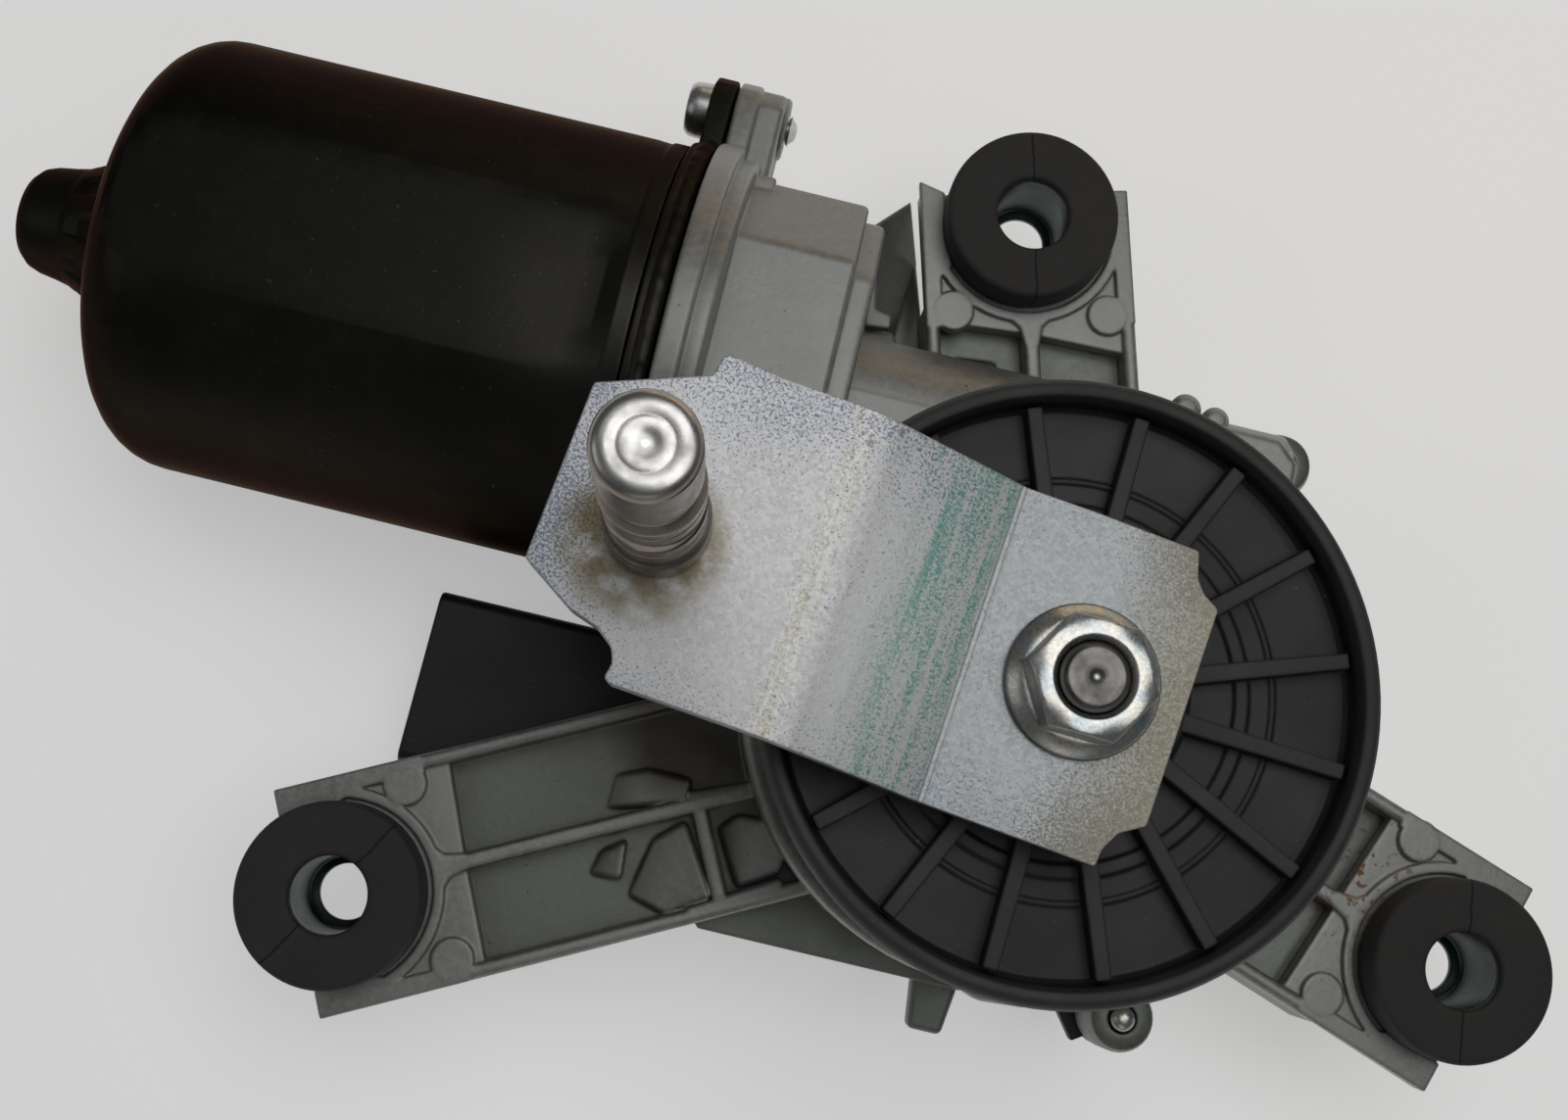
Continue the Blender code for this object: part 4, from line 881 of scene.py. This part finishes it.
def make_housing(look):
    """Die-cast housing with its ribbed legs, neck, worm tunnel, shaft tower and screw bosses."""
    chamber = raised(chamber_plan(), LEDGE_Z - 1.0, TOP_Z, round_by=1.2, steps=3)
    behind = [(-36.6, AXIS_Y + 0.6), (7.0, AXIS_Y + 0.6), (7.0, 52.0), (-36.6, 52.0)]
    base = carved(chamber, remove=[raised(behind, LEDGE_Z, TOP_Z + 5)])
    add = [raised(body_plan(0.05), RIM_Z, LEDGE_Z, round_by=0.7)]
    cut = []
    for leg in range(3):
        solids, tools = leg_solids(leg)
        add += solids
        cut += tools
    # neck with its cut corners, the step behind it, and the worm tunnel
    hw, hh, ch = 26.8, 22.0, 10.0
    neck = [(-hw, -hh + ch), (-hw + ch, -hh), (hw - ch, -hh), (hw, -hh + ch), (hw, hh - ch),
            (hw - ch - 2, hh), (-hw + ch + 2, hh), (-hw, hh - ch)]
    add.append(raised(neck, -54.0, -35.6, 'X', MOTOR, round_by=0.8, steps=3))
    add.append(raised([(y * 0.93, z * 0.90) for y, z in neck], -37.0, -32.6, 'X', MOTOR, round_by=1.0))
    add.append(turned([(0, -37.0), (11.4, -37.0), (11.4, 30.3), (10.6, 31.1), (0, 31.1)], 48, 'X', MOTOR))
    # web between the neck and the first leg: a plate, a ridge that falls away from the neck, a low pad
    add.append(raised([(-37.0, 40.0), (-36.9, 63.2), (-34.5, 64.2), (-29.0, 71.8), (-22.0, 50.0),
                       (-22.0, 40.0)], -64.8, -63.2, round_by=0.5))
    add.append(sloped([(-36.9, 41.0), (-36.9, 63.2), (-34.5, 65.4), (-29.6, 72.3), (-26.4, 64.0),
                       (-26.4, 41.0)], -64.7, (-34.0, 60.0), -56.6, (-0.95, 0.06)))
    add.append(sloped([(-34.0, 41.0), (-33.0, 50.2), (-27.8, 51.2), (-24.6, 46.0), (-24.0, 41.0)], -64.0,
                      (-30.0, 50.0), -58.4, (0.05, -0.10)))
    # flange that takes the can, with thicker ears and their screw bosses
    add.append(raised(flange_plan(33.0, 42.7, 7.9), -58.0, -54.6, 'X', MOTOR, round_by=0.55, steps=3))
    add.append(raised(flange_plan(31.4, 40.6, 6.2), -54.8, -52.2, 'X', MOTOR, round_by=0.6))
    for k in range(len(EARS)):
        y, z = ear_spot(k)
        ear = [(27.0, -6.6), (40.4, -6.6), (43.2, -4.6), (44.2, -1.6), (44.2, 1.6), (43.2, 4.6), (40.4, 6.6),
               (27.0, 6.6)]
        add.append(raised(swung(ear, EARS[k]), -57.9, -50.9, 'X', MOTOR, round_by=0.9, steps=3))
        add.append(turned([(0, -54.0), (4.8, -54.0), (4.6, -50.7), (4.2, -50.3), (0, -50.3)], 32, 'X',
                          (0, y, z)))
        cut.append(rod(EAR_BORE, -70, -40, 24, 'X', (0, y, z)))
    add.append(block((-53.0, -49.2), (60.5, 63.9), (-46.8, -42.2), 0.5))
    add.append(raised([(-34.8, 65.4), (-33.9, 65.6), (-31.0, 53.4), (-28.6, 53.0), (-28.4, 51.0),
                       (-32.2, 50.6)], -62.0, -56.6, round_by=0.4))
    tower = [(0, TOP_Z - 1), (20.6, TOP_Z - 1), (20.0, TOP_Z + 0.4), (18.2, TOP_Z + 2.2), (15.6, TOP_Z + 4.2),
             (14.0, TOP_Z + 6.6), (13.4, -33.6), (11.0, -33.4), (11.0, -21.6), (10.2, -20.7), (0, -20.7)]
    add.append(turned(tower, 64))
    for x, y, tip in BOSSES:
        add.append(turned([(0, RIM_Z + 0.05), (5.0, RIM_Z + 0.05), (4.8, tip - 3.0), (4.3, tip - 1.6),
                           (3.4, tip - 1.2), (0, tip - 1.2)], 32, centre=(x, y, 0)))
        add.append(raised(web_plan(x, y), RIM_Z + 0.1, -58.9, round_by=0.7))
        cut.append(rod(2.1, RIM_Z - 5, tip + 0.6, 20, centre=(x, y, 0)))
    add.append(raised([(-4.6, -38), (-3.7, -46.4), (1.2, -46.4), (2.4, -38)], -64.2, -60.4, round_by=0.8,
                      steps=3))
    # gussets between the long leg and the chamber
    for line, width in ((((-39.2, -23.4), (-33.4, -35.0)), 2.2), (((-41.2, -22.6), (-29.8, -17.9)), 2.0),
                        (((-37.5, -38.2), (-25.3, -31.2)), 2.4)):
        (xa, ya), (xb, yb) = line
        a = math.degrees(math.atan2(yb - ya, xb - xa))
        span = math.hypot(xb - xa, yb - ya)
        bar = [(xa + px, ya + py) for px, py in swung([(0, -width / 2), (span, -width / 2), (span, width / 2),
                                                       (0, width / 2)], a)]
        add.append(raised(bar, SLAB_BOTTOM + 0.4, PAD_TOP - 0.15, round_by=0.6, steps=3))
    # pads that rise from the pocket floors towards the chamber
    for plan, at, level, rise in (
            ([(-52.4, -27.0), (-52.2, -21.4), (-47.4, -19.6), (-41.0, -19.6), (-41.2, -23.2)], (-52.3, -24.0),
             -58.1, (0.42, 0.0)),
            ([(-52.6, -36.2), (-51.4, -32.2), (-47.9, -29.8), (-47.4, -35.6)], (-52.4, -34.0), -58.1,
             (0.60, 0.0)),
            ([(-46.4, -37.6), (-44.7, -29.0), (-40.6, -25.4), (-34.4, -35.0), (-40.1, -39.0)], (-47.2, -33.0),
             -57.9, (0.30, 0.0)),
            ([(-36.4, -25.4), (-33.6, -22.8), (-26.0, -22.8), (-26.0, -29.6), (-31.6, -33.2)], (-36.0, -27.0),
             -57.6, (0.26, 0.0)),
            ([(-21.4, 40.0), (-20.9, 47.4), (-17.6, 49.6), (-11.8, 50.4), (-10.4, 44.0)], (-16.0, 50.0),
             -57.6, (0.0, -0.30))):
        add.append(sloped(plan, SLAB_BOTTOM + 0.5, at, level, rise, 1.0, 4))
    # two round bumps behind the tunnel
    for x, y, r in ((14.6, 46.6, 2.2), (19.0, 45.9, 2.0)):
        add.append(turned([(0, -60.0), (r, -60.0), (r, -47.0), (r * 0.6, -46.2), (0, -46.0)], 24,
                          centre=(x, y, 0)))
    # hollow inside: room for the wheel, the worm, the brushes and the output shaft
    cut.append(rod(34.2, RIM_Z - 5, -47.2, 96))
    cut.append(rod(8.5, -50, 28.6, 40, 'X', MOTOR))
    cut.append(rod(19.4, -60, -47.6, 56, 'X', MOTOR))
    cut.append(rod(8.3, -50.2, -15.7, 48))
    body = carved(base, add, cut)
    return finish_piece("housing_casting", body, look, "frame", "cast_alloy", "gear_housing", angle=32.0)


# ------------------------------------------------------------------ output side

def make_shield(look):
    """Moulded dish: rolled rim, two rings in its floor, and its spokes."""
    dish = [(11.3, -33.0), (13.3, -33.0), (13.3, -20.6), (13.9, -20.0), (34.4, -19.2), (35.1, -19.9),
            (35.2, -23.5), (36.6, -23.5), (37.0, -19.0), (37.2, -15.0), (37.15, -14.0), (36.8, -13.2),
            (36.3, -12.75), (35.6, -12.7), (35.0, -12.9), (34.7, -13.5), (34.6, -15.0), (34.4, -17.0),
            (33.8, -17.6), (25.8, -17.6), (25.5, -17.35), (25.1, -17.35), (24.8, -17.6), (22.7, -17.6),
            (22.2, -17.2), (20.9, -17.2), (20.4, -17.6), (15.4, -17.6), (14.9, -17.2), (14.7, -15.4),
            (14.1, -14.8),
            (12.4, -14.8), (11.6, -15.3), (11.3, -16.2)]
    base = turned(dish, 128, closed=True)
    bar = [(14.0, -1.1), (34.0, -0.95), (34.0, 0.95), (14.0, 1.1)]
    spokes = []
    for i in range(SPOKES):
        spokes.append(raised(swung(bar, SPOKE_PHASE + 360.0 / SPOKES * i), -18.2, -14.6, round_by=0.3))
    body = carved(base, spokes)
    return finish_piece("rain_shield_moulding", body, look, "frame", "black_plastic", "rain_shield")


def make_crank(look):
    """Pressed crank sheet: sheared edges, two soft bends, round seats for the shaft and the pin."""
    near, far = CRANK_BENDS[0][0], CRANK_BENDS[1][0]
    pts = [(-8.4, -19.1), (4.0, -19.4), (near, -19.4), (far, -20.7), (43.8, -20.7), (50.0, -21.2),
           (50.8, -20.6), (51.0, -18.3), (63.4, -12.9), (63.6, 8.4), (57.0, 12.1), (53.5, 13.0),
           (51.2, 14.6), (50.5, 16.1), (50.8, 17.9), (50.2, 18.4), (far, 18.4), (near, 19.0),
           (-7.8, 19.2), (-8.0, 17.1), (-9.2, 14.8), (-12.0, 13.0), (-12.5, -13.3), (-10.4, -14.5),
           (-9.2, -16.0)]
    bm = raised(pts, CRANK_TOP - CRANK_THICK, CRANK_TOP)
    for bend, spread, _ in CRANK_BENDS:
        for k in range(-2, 3):
            bmesh.ops.bisect_plane(bm, geom=bm.verts[:] + bm.edges[:] + bm.faces[:], dist=0.0001,
                                   plane_co=(bend + spread * k / 2, 0, 0), plane_no=(1, 0, 0))
    ease(bm, 0.8, 12.0, 4, keep=lambda e: abs(e.verts[0].co.z - e.verts[1].co.z) > 1.0
         and (e.verts[0].co.x < 5.0 or e.verts[0].co.x > 36.0))
    slope = CRANK_RISE / (far - near)
    for v in bm.verts:
        u = v.co.x
        rise = 0.0
        for bend, spread, turn in CRANK_BENDS:
            past = min(max(u - bend + spread, 0.0), 2 * spread)
            rise += turn * slope * (past ** 2 / (4 * spread) + max(u - bend - spread, 0.0))
        v.co.z += rise
    ease(bm, 0.32, 50.0, 2, keep=lambda e: abs(e.verts[0].co.z - e.verts[1].co.z) < 2.0)
    bmesh.ops.rotate(bm, cent=(0, 0, 0), matrix=Matrix.Rotation(math.radians(CRANK_ANGLE), 3, 'Z'),
                     verts=bm.verts)
    holes = [rod(5.0, -20, 0, 48), rod(4.4, -20, 5, 40, centre=(*pin_spot(), 0))]
    return finish_piece("crank_sheet", carved(bm, remove=holes), look, "output", "zinc_plate", "crank_arm")


def pin_spot():
    """Middle of the crank's pin in plan."""
    a = math.radians(CRANK_ANGLE)
    return CRANK_REACH * math.cos(a), CRANK_REACH * math.sin(a)


def make_pin(look):
    """Turned pin: rolled collar, waisted neck, knurled band and a ringed, chamfered head."""
    base = CRANK_TOP + CRANK_RISE
    z = base + 0.3
    riveted = [(0, base - 5.6), (4.6, base - 5.6), (5.3, base - 5.2), (5.9, base - 4.3), (4.1, base - 4.3)]
    shank = [(4.1, 0.0), (5.9, 0.0), (6.05, 0.3), (6.05, 5.6), (5.9, 6.2), (5.5, 7.0), (5.45, 10.0),
             (5.5, 10.4), (5.3, 10.7), (5.5, 11.0), (5.5, 14.0), (5.2, 14.4), (4.9, 14.8), (4.85, 16.2),
             (4.9, 17.5), (5.2, 18.0), (5.5, 18.4), (5.5, 21.0), (5.3, 21.3), (5.5, 21.6), (5.5, 24.0),
             (5.0, 24.6), (4.6, 25.0), (4.55, 26.5), (4.6, 28.0), (4.9, 28.6), (5.2, 29.0)]
    head = [(5.25, 34.0), (5.2, 39.0), (5.15, 39.5), (4.9, 39.95), (4.5, 40.25), (4.0, 40.38), (3.6, 40.4),
            (2.75, 40.4), (2.65, 40.36), (2.55, 40.4), (1.5, 40.4), (1.3, 40.34), (0.7, 40.3), (0, 40.28)]
    prof = riveted + [(r, z + level) for r, level in shank + head]
    stud = turned(prof, 72, centre=(*pin_spot(), 0))
    return finish_piece("crank_stud", stud, look, "output", "steel", "crank_pin")


def make_nut(look):
    """Flange nut: chamfered hexagon on a dished round flange, countersunk thread."""
    hexagon = raised(around(0, 0, 6.5 / math.cos(math.radians(30)), 6, 57.8), -7.2, -0.5)
    drum = turned([(0, -7.4), (9.5, -7.4), (9.5, -2.35), (6.15, -0.5), (0, -0.5)], 72)
    flange = turned([(0, -7.7), (8.6, -7.7), (8.95, -7.4), (8.95, -6.9), (8.7, -6.55), (7.4, -5.7),
                     (0, -5.4)], 72)
    bore = [(0, -9), (4.3, -9), (4.3, -8.3)]
    z = -7.2
    while z < -1.9:
        bore += [(4.2, z), (4.04, z + 0.3), (4.04, z + 0.5), (4.2, z + 0.8)]
        z += 1.25
    bore += [(4.04, -1.3), (4.75, -0.5), (4.75, 0.5), (0, 0.5)]
    shaped = carved(hexagon, keep=[drum])
    body = carved(shaped, [flange], [turned(bore, 64)])
    return finish_piece("flange_nut", body, look, "output", "zinc_plate", "crank_nut")


def make_shaft(look):
    """Output shaft with its centre drilling, rolled thread, taper seat, clip groove and wheel seat."""
    prof = [(0, -0.35), (0.3, -0.3), (0.75, -0.08), (0.95, 0.0), (3.2, 0.0), (3.45, -0.2), (3.9, -0.75)]
    z = -1.0
    while z > -7.6:
        prof += [(3.98, z), (3.98, z - 0.15), (3.72, z - 0.55), (3.72, z - 0.7), (3.98, z - 1.1)]
        z -= 1.25
    prof += [(4.0, -8.4), (4.7, -9.0), (4.7, -12.1), (6.0, -12.4), (6.0, -18.4), (5.3, -18.5), (5.3, -19.8),
             (6.0, -19.9), (6.0, -47.0), (5.2, -47.2), (5.2, -62.6), (4.4, -63.4), (0, -63.4)]
    return finish_piece("output_spindle", turned(prof, 64), look, "output", "steel", "output_shaft")


# ------------------------------------------------------------------ mounts and cover

def make_grommets(rubber, zinc):
    """Each leg's rubber, waisted to sit in the fork, and the flared steel tube through it."""
    for i in range(3):
        x, y = on_leg(i, [(LEGS[i][2], 0.0)])[0]
        t = GROMMET_TOP
        ring = [(6.9, t - 13.4), (11.9, t - 13.4), (12.35, t - 13.2), (12.5, t - 12.6), (12.5, -58.3),
                (12.4, -57.8), (12.0, -57.6), (8.6, -57.6), (8.6, -53.4), (12.0, -53.4), (12.35, -53.2),
                (12.5, -52.8), (12.5, t - 1.0), (12.38, t - 0.45), (12.05, t - 0.12), (11.5, t), (8.0, t),
                (6.0, t - 0.04), (5.5, t - 0.15), (5.25, t - 0.45), (5.2, t - 0.9), (6.9, t - 0.9)]
        finish_piece("rubber_ring_%d" % (i + 1), turned(ring, 80, centre=(x, y, 0), closed=True), rubber,
                     "frame", "rubber", "grommet_%d" % (i + 1))
        tube = [(3.9, t - 13.9), (6.4, t - 13.9), (6.6, t - 13.7), (6.6, t - 1.5), (6.4, t - 1.25),
                (6.1, t - 1.2), (5.5, t - 1.2), (5.2, t - 1.4), (5.15, t - 1.8), (5.15, t - 12.3),
                (4.9, t - 12.7), (4.2, t - 13.0), (3.9, t - 13.25)]
        finish_piece("spacer_tube_%d" % (i + 1), turned(tube, 56, centre=(x, y, 0), closed=True), zinc,
                     "frame", "zinc_plate", "sleeve_%d" % (i + 1))


def make_cover(look):
    """Moulded gear cover: switch chamber, plug socket with its latch, ribs and screw ears."""
    top = COVER_TOP
    base = raised(body_plan(-0.4, -35.2), top - 2.6, top, round_by=0.4)
    add = []
    cut = []
    for x, y, _ in BOSSES:
        add.append(turned([(0, top - 2.5), (4.7, top - 2.5), (5.0, top - 2.2), (5.0, top - 0.03),
                           (0, top - 0.03)], 32, centre=(x, y, 0)))
        add.append(raised(web_plan(x, y), top - 2.45, top - 0.05, round_by=0.3))
        cut.append(rod(2.4, -80, -60, 20, centre=(x, y, 0)))
    add.append(raised([(16.0, -37.0), (20.8, -43.4), (24.5, -41.0), (24.0, -36.0)], top - 2.4, top - 0.06,
                      round_by=0.25))
    chamber = [(0, FLOOR_Z), (25.4, FLOOR_Z), (26.9, FLOOR_Z + 0.4), (27.8, FLOOR_Z + 1.4), (28.4, top - 1.0),
               (0, top - 1.0)]
    add.append(turned(chamber, 96))
    add.append(raised(rounded_box(SOCKET_Y, SOCKET_Z, 26.0, 17.2, 1.8), -84.3, -20.0, 'X', round_by=0.45,
                      steps=3))
    for k in range(12):
        a = 15.0 + 30.0 * k
        if 150 < a < 230:
            continue
        fin = swung([(27.2, -0.8), (33.0, -0.8), (33.0, 0.8), (27.2, 0.8)], a)
        add.append(raised(fin, top - 7.0, top - 2.0, round_by=0.3))
    cut.append(rod(25.8, FLOOR_Z + 2.4, top + 5, 96))
    cut.append(turned([(0, FLOOR_Z - 2), (19.0, FLOOR_Z - 2), (18.4, FLOOR_Z + 0.6), (0, FLOOR_Z + 0.6)], 72))
    cut.append(raised(rounded_box(SOCKET_Y, SOCKET_Z, 21.4, 12.6, 1.2), -90.0, -66.0, 'X'))
    for k in range(5):
        y = SOCKET_Y + (k - 2) * 4.0
        cut.append(block((-67.0, -61.0), (y - 1.4, y + 1.4), (-77.9, -76.5)))
    for s in (-1, 1):
        side = SOCKET_Y + s * 13.0
        cut.append(block((-82.0, -66.0), (side - 0.5, side + 0.5), (-80.5, -74.0), 0.2))
    body = carved(base, add, cut)
    return finish_piece("cover_moulding", body, look, "frame", "black_plastic", "gear_cover", angle=32.0)


def make_cover_screws(look):
    """Thread-forming screws: socketed head below, domed tip standing proud of the boss."""
    top = COVER_TOP
    for k, (x, y, tip) in enumerate(BOSSES):
        prof = [(0, top - 5.2), (3.3, top - 5.2), (3.9, top - 4.8), (4.1, top - 4.3), (4.1, top - 2.9),
                (1.8, top - 2.9), (1.8, top - 0.4)]
        z = top
        while z < tip - 2.0:
            prof += [(1.6, z), (1.85, z + 0.3)]
            z += THREAD
        prof += [(1.6, tip - 1.3), (1.75, tip - 0.9), (1.45, tip - 0.4), (0.9, tip - 0.1), (0.4, tip),
                 (0, tip)]
        screw = turned(prof, 28, centre=(x, y, 0))
        screw = carved(screw, remove=[raised(star(1.6, 0.3), top - 7.0, top - 3.9, centre=(x, y, 0))])
        finish_piece("cover_fastener_%d" % (k + 1), screw, look, "frame", "zinc_plate",
                     "cover_screw_%d" % (k + 1))


# ------------------------------------------------------------------ inside

def dress_inside():
    """Worked finishes for the plain solids that stay as they are."""
    # slot: name, darker and lighter tone, roughness, metal, size of the pattern, its stretch, its depth
    looks = {
        "ferrite": ("sintered ferrite", (0.055, 0.056, 0.06), (0.10, 0.10, 0.105), 0.62, 0.1, 500.0),
        "steel": ("bare turned steel", (0.34, 0.34, 0.35), (0.52, 0.52, 0.53), 0.32, 1.0, 400.0),
        "copper": ("enamelled copper", (0.42, 0.15, 0.06), (0.66, 0.30, 0.14), 0.30, 0.9, 1.0,
                   (900.0, 240.0, 240.0), 0.00012),
        "phenolic": ("laminated phenolic", (0.16, 0.085, 0.035), (0.27, 0.15, 0.07), 0.55, 0.0, 350.0),
        "carbon": ("pressed carbon", (0.030, 0.030, 0.033), (0.065, 0.065, 0.07), 0.50, 0.15, 900.0),
        "bronze": ("sintered bronze", (0.36, 0.22, 0.09), (0.56, 0.38, 0.18), 0.42, 0.95, 800.0),
        "nylon": ("natural nylon", (0.66, 0.62, 0.50), (0.80, 0.77, 0.67), 0.45, 0.0, 160.0),
        "brass": ("rolled brass", (0.55, 0.40, 0.15), (0.74, 0.58, 0.27), 0.30, 1.0, 300.0),
        "rubber": ("seal rubber", (0.014, 0.014, 0.014), (0.034, 0.033, 0.032), 0.70, 0.0, 300.0),
    }
    made = {slot: inner_finish(*values) for slot, values in looks.items()}
    for part in frame["record"]["subparts"]:
        if part["node"] in REPLACED:
            continue
        mesh = frame["nodes"][part["node"]].data
        mesh.materials.clear()
        mesh.materials.append(made[part["material_slot"]])


# ------------------------------------------------------------------ studio

# soft boxes: name, place, what it points at, width and height, power, colour
LAMPS = (("overhead box", (60, 95, 450), (-25, 10, -30), (400, 300), 0.65, (1.0, 1.0, 1.0)),
         ("can strip", (-225, 165, 420), (-95, 37, -26), (190, 80), 0.03, (1.0, 0.97, 0.92)),
         ("left side", (-560, -120, 380), (-30, 10, -50), (300, 300), 0.16, (1.0, 0.98, 0.95)),
         ("far side", (60, 520, 120), (-60, 30, -50), (500, 160), 0.22, (1.0, 0.74, 0.48)),
         ("near side", (60, -560, 260), (-20, 0, -50), (400, 200), 0.14, (1.0, 0.90, 0.78)))
# camera: place, its turn about X, Y and Z in degrees, focal length
CAMERA_AT = (-37.9, -25.0, 179.9)
CAMERA_TURN = (8.91, -2.66, 13.26)
LENS = 38.25


def lamp(name, spot, aim, size, power, colour):
    """A rectangular soft box."""
    data = bpy.data.lights.new(name, 'AREA')
    data.shape = 'RECTANGLE'
    data.size = size[0] * MM
    data.size_y = size[1] * MM
    data.energy = power
    data.color = colour
    obj = bpy.data.objects.new(name, data)
    bpy.context.scene.collection.objects.link(obj)
    obj.location = [c * MM for c in spot]
    away = Vector(aim) - Vector(spot)
    obj.rotation_euler = away.to_track_quat('-Z', 'Y').to_euler()


def make_studio():
    """Pale floor, faint air light and the soft boxes."""
    bpy.context.scene.view_settings.view_transform = 'Standard'
    world = bpy.data.worlds.new("studio air")
    bpy.context.scene.world = world
    world.use_nodes = True
    back = world.node_tree.nodes["Background"]
    back.inputs["Color"].default_value = (0.93, 0.96, 1.0, 1.0)
    back.inputs["Strength"].default_value = 0.07
    bm = bmesh.new()
    bmesh.ops.create_grid(bm, x_segments=1, y_segments=1, size=3.0)
    bmesh.ops.translate(bm, vec=(0, 0, cad_low.z), verts=bm.verts)
    floor = as_object("studio_floor", bm)
    f = Finish("pale studio floor", rough=0.9, specular=0.1)
    cloud = f.noise(3.0, 3.0)
    f.shader.inputs["Emission Color"].default_value = (1.0, 1.0, 1.0, 1.0)
    f.shader.inputs["Emission Strength"].default_value = 0.40
    f.feed(Base_Color=f.blend(cloud, (0.86, 0.86, 0.86), (0.90, 0.90, 0.90)))
    floor.data.materials.append(f.material)
    for values in LAMPS:
        lamp(*values)


def make_camera():
    """The main view, from above the crank."""
    data = bpy.data.cameras.new("main view")
    data.sensor_width = 36.0
    data.lens = LENS
    data.clip_start = 0.01
    data.clip_end = 20.0
    cam = bpy.data.objects.new("main view", data)
    bpy.context.scene.collection.objects.link(cam)
    cam.location = [c * MM for c in CAMERA_AT]
    cam.rotation_euler = [math.radians(a) for a in CAMERA_TURN]
    bpy.context.scene.camera = cam


make_camera()
make_studio()

paint = black_paint()
alloy = cast_alloy()
zinc = zinc_small()
make_can(paint)
make_can_flange(paint)
make_can_bolts(zinc)
make_housing(alloy)
make_shield(shield_plastic())
make_crank(crank_zinc())
stud = (*[c * MM for c in pin_spot()], 0.0)
make_pin(turned_steel("turned stud steel", stud, (0.60, 0.59, 0.57), 37.7, side=(0.20, 0.165, 0.125)))
make_nut(zinc)
make_shaft(turned_steel("turned spindle steel", (0.0, 0.0, 0.0), (0.17, 0.165, 0.16), 0.0, rough_low=0.34,
                        rough_high=0.5))
make_grommets(grommet_rubber(), sleeve_zinc())
make_cover(cover_plastic())
make_cover_screws(zinc)
dress_inside()
